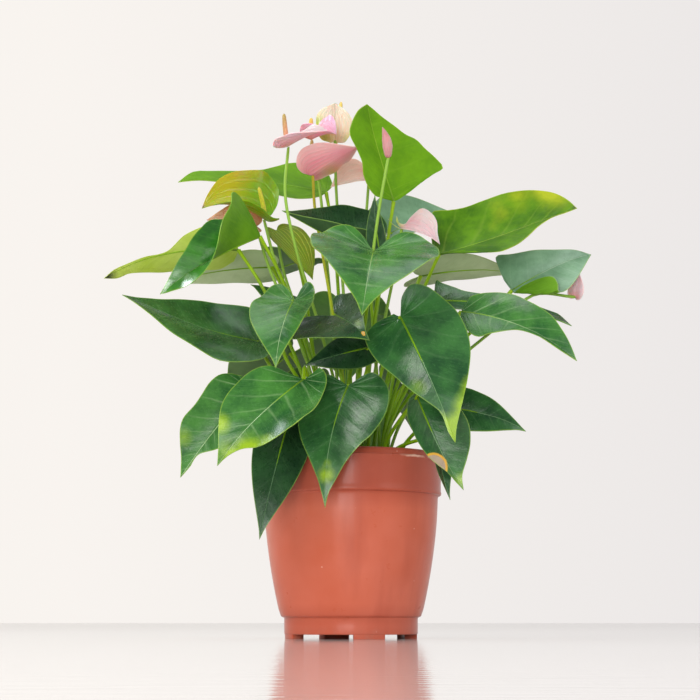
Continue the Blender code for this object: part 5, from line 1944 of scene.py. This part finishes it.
@dataclass
class Soil:
    """Peat that fills the pot, with crumbs and fibres on its top."""

    radius: float = 73.6
    flank: Outline = ((72.6, 115.0), (69.0, 72.0), (59.6, 24.0), (54.6, 18.0), (53.6, 7.1), (0.0, 7.1))
    rings: int = 30
    sectors: int = 96
    crumbs: int = 260
    fibres: int = 110
    seed: int = 7
    finish: SoilFinish = field(default_factory=SoilFinish)

    def height(self, x: float, y: float) -> float:
        """The height of the lumpy top, in millimetres.

        Args:
            x: How far right.
            y: How far back.

        Returns:
            The height.
        """
        lumps = sin(0.31 * x + 1.3) * cos(0.27 * y - 0.6) + sin(0.53 * x - 0.41 * y)
        crown = 1.5 * (1.0 - (x * x + y * y) / 6400.0)
        rough = ground_noise.noise(Vector((x, y, 0.0)) / 7.0) + 0.5 * ground_noise.noise(
            Vector((x, y, 9.0)) / 2.6)
        return SOIL_TOP + crown + 0.8 * lumps + 1.1 * rough

    def _surface(self, row: int, column: int) -> Array:
        """The place of a corner: out over the top, down the side and in under the bottom.

        Args:
            row: Its row.
            column: Its column.

        Returns:
            The place.
        """
        angle = -2.0 * pi * (column % self.sectors) / self.sectors
        if row <= self.rings:
            reach = self.radius * row / self.rings
            x, y = reach * sin(angle), -reach * cos(angle)
            return np.array((x, y, self.height(x, y)))
        reach, z = self.flank[row - self.rings - 1]
        return np.array((reach * sin(angle), -reach * cos(angle), z))

    def _body(self) -> Item:
        """The filling."""
        rows = self.rings + len(self.flank)
        item = sheet_piece("peat", self.sectors, rows, self._surface)
        return closed(item, self.finish.material("peat", 0.0))

    def _spot(self, chance: random.Random, inset: float) -> tuple[float, float]:
        """A chance place on the peat, in from the wall.

        Args:
            chance: The source of chance.
            inset: How far in from the wall it stays, in millimetres.

        Returns:
            The place's x and y.
        """
        reach = (self.radius - inset) * sqrt(chance.random())
        angle = chance.uniform(0.0, 2.0 * pi)
        return reach * cos(angle), reach * sin(angle)

    def _crumbs(self, chance: random.Random) -> list[Item]:
        """Loose crumbs, each its own copy of one rough lump.

        Args:
            chance: The source of chance.

        Returns:
            The crumbs.
        """
        deselect()
        bpy.ops.mesh.primitive_ico_sphere_add(subdivisions=2, radius=1.0)
        lump = bpy.context.active_object
        for corner in lump.data.vertices:
            corner.co *= 1.0 + 0.35 * ground_noise.noise(corner.co * 1.7)
        lump.data.materials.append(self.finish.material("crumb", 0.4))
        made = []
        for _ in range(self.crumbs):
            copy = lump.copy()
            copy.data = lump.data.copy()
            bpy.context.scene.collection.objects.link(copy)
            x, y = self._spot(chance, 3.0)
            size = chance.uniform(0.7, 2.1)
            turn = Euler([chance.uniform(0.0, 6.28) for _ in range(3)]).to_matrix().to_4x4()
            flat = Matrix.Diagonal((size * MM, size * MM, 0.7 * size * MM, 1.0))
            shift = Matrix.Translation(Vector((x, y, self.height(x, y) + 0.35 * size)) * MM)
            copy.data.transform(shift @ flat @ turn)
            made.append(copy)
        bpy.data.objects.remove(lump)
        return made

    def _fibres(self, chance: random.Random) -> list[Item]:
        """Thin curved fibres that lie on the peat.

        Args:
            chance: The source of chance.

        Returns:
            The fibres.
        """
        material = self.finish.material("fibre", 0.9)
        made = []
        for _ in range(self.fibres):
            x, y = self._spot(chance, 9.0)
            heading = chance.uniform(0.0, 2.0 * pi)
            bend = chance.uniform(-0.9, 0.9)
            length = chance.uniform(4.0, 12.0)
            line = []
            for k in range(6):
                line.append((x, y, self.height(x, y) + 0.5 + 0.5 * sin(k)))
                x += length / 5.0 * cos(heading)
                y += length / 5.0 * sin(heading)
                heading += bend / 3.0
                fit = min(1.0, (self.radius - 1.0) / max(hypot(x, y), 1.0))
                x, y = x * fit, y * fit
            radii = np.full(6, chance.uniform(0.14, 0.3))
            made.append(Tube(np.array(line), radii, material, sides=5).build("fibre"))
        return made

    def build(self) -> None:
        """Make the soil and hand it over."""
        chance = random.Random(self.seed)
        parts = [self._body()] + self._crumbs(chance) + self._fibres(chance)
        hand_over(joined(parts, "peat_soil"), "soil")


YELLOW, DEAD, GREEN, DARK = Stain.YELLOW, Stain.DEAD, Stain.GREEN, Stain.DARK

LEAVES = (
    Blade("leaf_front_heart", (20, 344, -78), (10, 291, -166), (-36, 353, -96), (78, 341, -96),
          arch=0.08, curl=(-20, -20), lift=0.08, look=LeafLook.MIDDLE),
    Blade("leaf_front_right", (44, 285, -104), (93, 177, -144), (12, 264, -106), (111, 256, -108),
          arch=0.05, curl=(25, 25), hook=0.06, lift=0.08, stains={YELLOW: ((106, 204, 11, 1.2),
          (94, 184, 12, 1.5), (62, 226, 8, 0.4), (109, 222, 8, 0.9))}),
    Blade("leaf_left_near", (-51, 300, -84), (-68, 243, -150), (-90, 288, -98), (-30, 309, -88),
          arch=0.06, curl=(20, 30), lift=0.08, via=((-63, 262, -68),), look=LeafLook.MIDDLE),
    Blade("leaf_left_long", (-84, 264, -16), (-202, 309, -34), (-114, 305, 10), (-104, 248, -60),
          arch=-0.06, curl=(20, -20), lobes=0.5),
    Blade("leaf_left_low", (-42, 230, -100), (-120, 156, -136), (-84, 243, -94), (-24, 212, -128),
          arch=0.05, curl=(25, 40), via=((-40, 238, -74),), look=LeafLook.MIDDLE,
          stains={YELLOW: ((-114, 190, 7, 0.8), (-92, 172, 11, 0.9), (-76, 174, 8, 0.6),
          (-106, 166, 9, 0.7))}),
    Blade("leaf_left_outer", (-90, 222, -44), (-152, 144, -66), (-126, 230, -42), (-88, 184, -54),
          arch=0.05, via=((-66, 205, -36),), look=LeafLook.MIDDLE,
          stains={YELLOW: ((-146, 178, 7, 0.45),)}),
    Blade("leaf_front_low", (-3, 224, -82), (-24, 117, -106), (-48, 194, -84), (35, 212, -96),
          arch=0.04, sway=0.04, stains={YELLOW: ((-22, 145, 5, 1.1), (-21, 156, 3, 0.9))}),
    Blade("leaf_low_dark", (-56, 192, -66), (-82, 89, -98), (-92, 152, -78), (-40, 152, -81), arch=0.03,
          look=LeafLook.DEEP_SHADED),
    Blade("leaf_centre_dark", (-14, 287, -64), (11, 272, -146), (-58, 268, -84), (3, 306, -80),
          arch=0.02, curl=(20, 30), hook=0.1, via=((-13, 262, -44),), look=LeafLook.DEEP_SHADED,
          stains={DEAD: ((11, 270.5, 2.4, 0.7),), YELLOW: ((6, 279, 4, 0.4),)}),
    Blade("leaf_under_dark", (14, 258, -60), (-42, 243, -72), (-6, 270, -60), (-2, 237, -68), arch=0.02,
          look=LeafLook.DEEP_SHADED),
    Blade("leaf_right_low", (59, 214, -72), (98, 132, -108), (50, 186, -66), (107, 190, -100),
          arch=0.04, stains={DEAD: ((73.5, 152, 11.5, 1.0),), YELLOW: ((98, 140, 6, 0.5),)}),
    Blade("leaf_right_low_small", (76, 178, -69), (87, 123, -86), (74, 160, -67), (92, 160, -76),
          arch=0.03, look=LeafLook.DEEP_SHADED),
    Blade("leaf_right_outer", (85, 205, -50), (156, 186, -58), (112, 218, -38), (112, 178, -66),
          arch=0.06, hook=0.05),
    Blade("leaf_right_middle", (76, 300, -40), (197, 282, -50), (100, 318, -10), (100, 289, -47),
          arch=0.05, hook=0.05, lobes=0.4),
    Blade("leaf_right_drooping", (98, 290, -62), (201, 250, -96), (124, 308, -62), (112, 262, -98),
          arch=0.1, hook=0.05, lobes=0.3, look=LeafLook.MIDDLE),
    Blade("leaf_right_bright", (78, 341, -26), (200, 385, -40), (113, 389, -8), (118, 344, -56),
          arch=-0.03, curl=(20, -15), hook=0.03, look=LeafLook.MOSS,
          stains={YELLOW: ((133, 378, 8, 1.0), (150, 387, 9, 0.8), (176, 392, 13, 0.9),
          (126, 366, 5, 0.8)), DARK: ((202, 382, 4, 1.0),)}),
    Blade("leaf_right_blue", (143, 309, -10), (213, 343, -6), (130, 339, 14), (166, 294, -34),
          arch=0.04, crease=(1, (143, 309), (190, 308), 160), look=LeafLook.BLUE),
    Blade("leaf_right_pale", (62, 322, 10), (150, 326, 40), (100, 341, 0), (96, 314, 56), arch=0.04,
          lobes=0.5, look=LeafLook.OLIVE),
    Blade("leaf_top_bright", (38, 388, -14), (13, 474, -30), (-1, 442, -44), (80, 425, -10), arch=-0.02,
          curl=(-20, 30), hook=-0.03, lift=0.1, look=LeafLook.FRESH),
    Blade("leaf_top_left", (-22, 396, 58), (-153, 410, 30), (-62, 422, 92), (-58, 391, 30), arch=0.03,
          curl=(20, 10), lobes=0.7, look=LeafLook.FRESH),
    Blade("leaf_left_glossy", (-81, 357, -58), (-170, 308, -88), (-120, 372, -64), (-70, 328, -88),
          arch=0.05, curl=(-20, 30), lift=0.12, fold=(0, 112), look=LeafLook.GLOSSY),
    Blade("leaf_left_yellow", (-100, 345, -20), (-220, 323, -22), (-135, 367, -42), (-140, 322, 6),
          arch=0.1, lobes=0.4, look=LeafLook.LEMON, stains={DARK: ((-219, 323, 9, 0.8),)}),
    Blade("leaf_left_pale", (-70, 330, 30), (-165, 316, 48), (-97, 342, 12), (-97, 312, 62), arch=0.04,
          lobes=0.4, look=LeafLook.OLIVE),
    Blade("leaf_left_hidden", (-44, 296, 38), (-89, 316, 58), (-57, 306, 54), (-60, 289, 26), arch=0.03,
          lobes=0.4),
    Blade("leaf_top_boat", (16, 346, -22), (-60, 383, -40), (-12, 378, -54), (-14, 398, -4), arch=-0.06,
          curl=(20, 20), lobes=0.6, look=LeafLook.DEEP_SHADED),
    Blade("leaf_centre_narrow", (25, 346, -54), (20, 394, -58), (13, 362, -50), (30, 368, -62),
          arch=0.02, wave=0.0, lobes=0.4, look=LeafLook.DEEP_SHADED),
    Blade("leaf_right_back", (36, 360, 44), (92, 380, 72), (60, 402, 72), (62, 362, 34), arch=0.04,
          look=LeafLook.BLUE),
)

CROWNS = (
    Crown("leaves_back_left", (-26.0, 30.0), (
        (222.0, 84.0, 262.0, 174.0, 210.0, 42.0, 6.0),
        (212.0, 82.0, 226.0, 150.0, 140.0, 32.0, -6.0),
        (216.0, 84.0, 350.0, 146.0, 342.0, 30.0, 8.0),
    )),
    Crown("leaves_back_middle", (2.0, 42.0), (
        (182.0, 84.0, 304.0, 166.0, 246.0, 42.0, 4.0),
        (178.0, 92.0, 216.0, 140.0, 128.0, 32.0, 0.0),
    ), LeafLook.MIDDLE),
    Crown("leaves_back_right", (28.0, 30.0), (
        (140.0, 84.0, 286.0, 172.0, 238.0, 42.0, -6.0),
        (144.0, 84.0, 232.0, 156.0, 150.0, 32.0, 6.0),
        (128.0, 78.0, 246.0, 138.0, 192.0, 28.0, 8.0),
        (164.0, 64.0, 350.0, 130.0, 338.0, 30.0, -6.0),
    )),
)

BLOOMS = (
    Bloom("bloom_left", Blade("", (-56, 437, -44), (-22, 453, -76), (-71, 441, -62), (-43, 451, -34),
          arch=0.02, stains={GREEN: ((-78, 438, 6, 0.6),)}), spike=(27.0, 0.25),
          via=((-56, 375, -52),)),
    Bloom("bloom_behind", Blade("", (-35, 443, 10), (-13, 449, -12), (-52, 453, 2), (-28, 461, 22)),
          spike=(17.0, 0.2), look=SpatheLook.HOT, spadix=SpadixLook.YELLOW, via=((-27, 392, 12),)),
    Bloom("bloom_middle", Blade("", (-34, 411, -12), (6, 438, -34), (-49, 431, -30), (-14, 415, 8),
          arch=0.0, stains={GREEN: ((-16, 410, 10, 0.7),)}), spike=(35.0, 0.2), look=SpatheLook.ROSE,
          via=((-33, 388, 4),), stalk=STALK_WARM),
    Bloom("bloom_ribbed", Blade("", (-14, 441, 24), (-14, 474, 52), (-33, 456, 36), (4, 457, 36),
          curl=(56, 56), arch=-0.1, turned=True, stains={GREEN: ((-31, 458, 7, 0.85),
          (-24, 444, 7, 0.8), (0, 443, 6, 0.7))}), spike=(61.0, 0.93), spike_aside=-0.085,
          spike_radius=2.5, look=SpatheLook.PEACH, spadix=SpadixLook.YELLOW, via=((-13, 396, 8),)),
    Bloom("bloom_salmon", Blade("", (16, 408, 34), (-18, 402, 20), (2, 425, 38), (2, 404, 18)),
          look=SpatheLook.SALMON),
    Bloom("bloom_bud", bud=((33, 427, -72), (28, 454, -76), 4.5), look=SpatheLook.CLOSED,
          via=((20.5, 352, -68),)),
    Bloom("bloom_hood", Blade("", (-77, 372, -14), (-132, 384, -30), (-88, 419, -2), (-96, 383, -38),
          arch=0.12, curl=(40, 40), lift=0.13, lobes=1.9, stains={GREEN: ((-70, 392, 22, 1.2),),
          DARK: ((-133, 382, 3, 1.0),)}), spike=(28.0, 0.3), look=SpatheLook.HOOD,
          spadix=SpadixLook.LEMON),
    Bloom("bloom_brown", Blade("", (-84, 366, -8), (-128, 373, -14), (-106, 388, 0), (-104, 364, -26),
          stains={GREEN: ((-108, 386, 5, 0.6),)}), look=SpatheLook.BROWN),
    Bloom("bloom_drooping", Blade("", (-66, 362, 12), (-33, 320, 0), (-36, 353, 22), (-62, 342, -6)),
          look=SpatheLook.DROOPING),
    Bloom("bloom_right", Blade("", (45, 364, -34), (79, 352, -62), (66, 384, -30), (52, 362, -56),
          arch=0.05, curl=(30, 40), stains={GREEN: ((38, 370, 8, 0.9),)})),
    Bloom("bloom_far_right", Blade("", (199, 303, -14), (204, 323, -18), (193, 310, -10),
          (208, 311, -21), arch=0.0), look=SpatheLook.SMALL, via=((150, 294, -14), (180, 306, -10))),
)


@dataclass
class Plant:
    """All leaves and blooms, with stems that keep clear of each other."""

    leaves: list[Leaf] = field(default_factory=lambda: [Leaf(blade) for blade in LEAVES])
    crowns: tuple[Crown, ...] = CROWNS
    blooms: tuple[Bloom, ...] = BLOOMS

    def arrange(self) -> None:
        """Spread the feet on the soil and lay the stems clear of each other."""
        stems = [leaf.stem for leaf in self.leaves] + [bloom.stem for bloom in self.blooms]
        stems += [leaf.stem for crown in self.crowns for leaf in crown.leaves]
        spread_feet(stems)
        for stem in stems:
            stem.lay()
        clear_stems(stems)

    def build(self) -> None:
        """Make every leaf, crown and bloom."""
        self.arrange()
        for leaf in self.leaves:
            leaf.build()
        for crown in self.crowns:
            crown.build()
        for bloom in self.blooms:
            bloom.build()


@dataclass
class Studio:
    """Pale glossy floor, soft lights, white surroundings and the camera."""

    floor_size: float = 14.0
    floor_colour: Colour = (0.80, 0.765, 0.74)
    wall_left: Colour = (0.945, 0.905, 0.865)
    wall_right: Colour = (0.84, 0.81, 0.80)
    overhead: float = 0.28

    def _floor(self) -> None:
        """The floor."""
        deselect()
        bpy.ops.mesh.primitive_plane_add(size=self.floor_size)
        floor = bpy.context.active_object
        floor.name = "floor"
        sheet = NodeSheet("floor_tile")
        cloud = sheet.noise(3.0, 3.0)
        sheet.ground(cloud.rising(0.3, 0.7) * 0.4, self.floor_colour, (0.74, 0.71, 0.70))
        streak = sheet.noise(9.0, 3.0, sheet.stretched((1.0, 9.0, 1.0)))
        material = sheet.finish(Roughness=0.08, Specular_IOR_Level=0.5,
                                Normal=sheet.relief(streak, 0.25))
        floor.data.materials.append(material)

    def _light(self, name: str, place: Place, aim: Place, size: float, power: float,
               colour: Colour = (1.0, 1.0, 1.0)) -> None:
        """Add a square soft light.

        Args:
            name: Its name.
            place: Where it hangs, in metres.
            aim: The point it faces.
            size: Its side.
            power: Its power in watts.
            colour: Its colour.
        """
        deselect()
        bpy.ops.object.light_add(type="AREA", location=place)
        lamp = bpy.context.active_object
        lamp.name = name
        lamp.data.shape = "SQUARE"
        lamp.data.size = size
        lamp.data.energy = power
        lamp.data.color = colour
        way = Vector(aim) - Vector(place)
        lamp.rotation_euler = way.to_track_quat("-Z", "Y").to_euler()
        lamp.visible_camera = False

    def _world(self) -> None:
        """Pale surroundings, dimmer overhead."""
        bpy.context.scene.view_settings.view_transform = "Standard"
        sheet = NodeSheet("pale_room", world=True)
        aside, _, rise = sheet.split(sheet.object_place())
        colour = sheet.mix(aside.rising(-0.16, 0.2), self.wall_left, self.wall_right)
        strength = 1.0 - (1.0 - self.overhead) * rise.rising(0.35, 0.56)
        room = sheet.wire("ShaderNodeBackground", None, {"Color": colour, "Strength": strength})
        sheet.node("ShaderNodeOutputWorld", None, {"Surface": room})
        bpy.context.scene.world = sheet.material

    def _camera(self) -> None:
        """The camera where the photograph's was."""
        lens = FOCAL_PIXELS / FRAME_PIXELS * SENSOR_WIDTH
        aside = -(AXIS_PIXEL - 0.5 * FRAME_PIXELS) / FOCAL_PIXELS * EYE_DISTANCE
        bpy.ops.object.camera_add(location=(aside * MM, -EYE_DISTANCE * MM, EYE_HEIGHT * MM),
                                  rotation=(0.5 * pi + EYE_PITCH, 0.0, 0.0))
        camera = bpy.context.active_object
        camera.data.sensor_width = SENSOR_WIDTH
        camera.data.lens = lens
        camera.data.clip_start = 0.01
        bpy.context.scene.camera = camera

    def build(self) -> None:
        """Set up the stage."""
        self._floor()
        self._world()
        self._light("key", (-1.1, -1.5, 1.7), (0.0, 0.0, 0.25), 0.8, 19.0, (1.0, 0.98, 0.95))
        self._light("fill", (1.5, -1.2, 0.9), (0.0, 0.0, 0.25), 1.0, 7.5, (0.93, 0.97, 1.0))
        self._light("front", (-0.35, -2.2, 0.12), (0.0, 0.0, 0.4), 1.0, 28.0)
        self._light("top", (0.0, 0.3, 1.9), (0.0, 0.0, 0.3), 0.9, 6.0, (0.93, 0.97, 1.0))
        self._light("window", (-1.05, 0.45, 1.3), (-0.13, -0.07, 0.32), 0.45, 7.0, (0.88, 0.95, 1.0))
        self._light("back", (0.6, 1.6, 1.2), (0.0, 0.0, 0.3), 1.2, 2.0)
        self._camera()


def main() -> None:
    """Build the pot, the soil, the plant and the stage."""
    logging.basicConfig(level=logging.INFO, format="%(message)s")
    Pot().build()
    Soil().build()
    Plant().build()
    Studio().build()


if __name__ == "__main__":
    main()
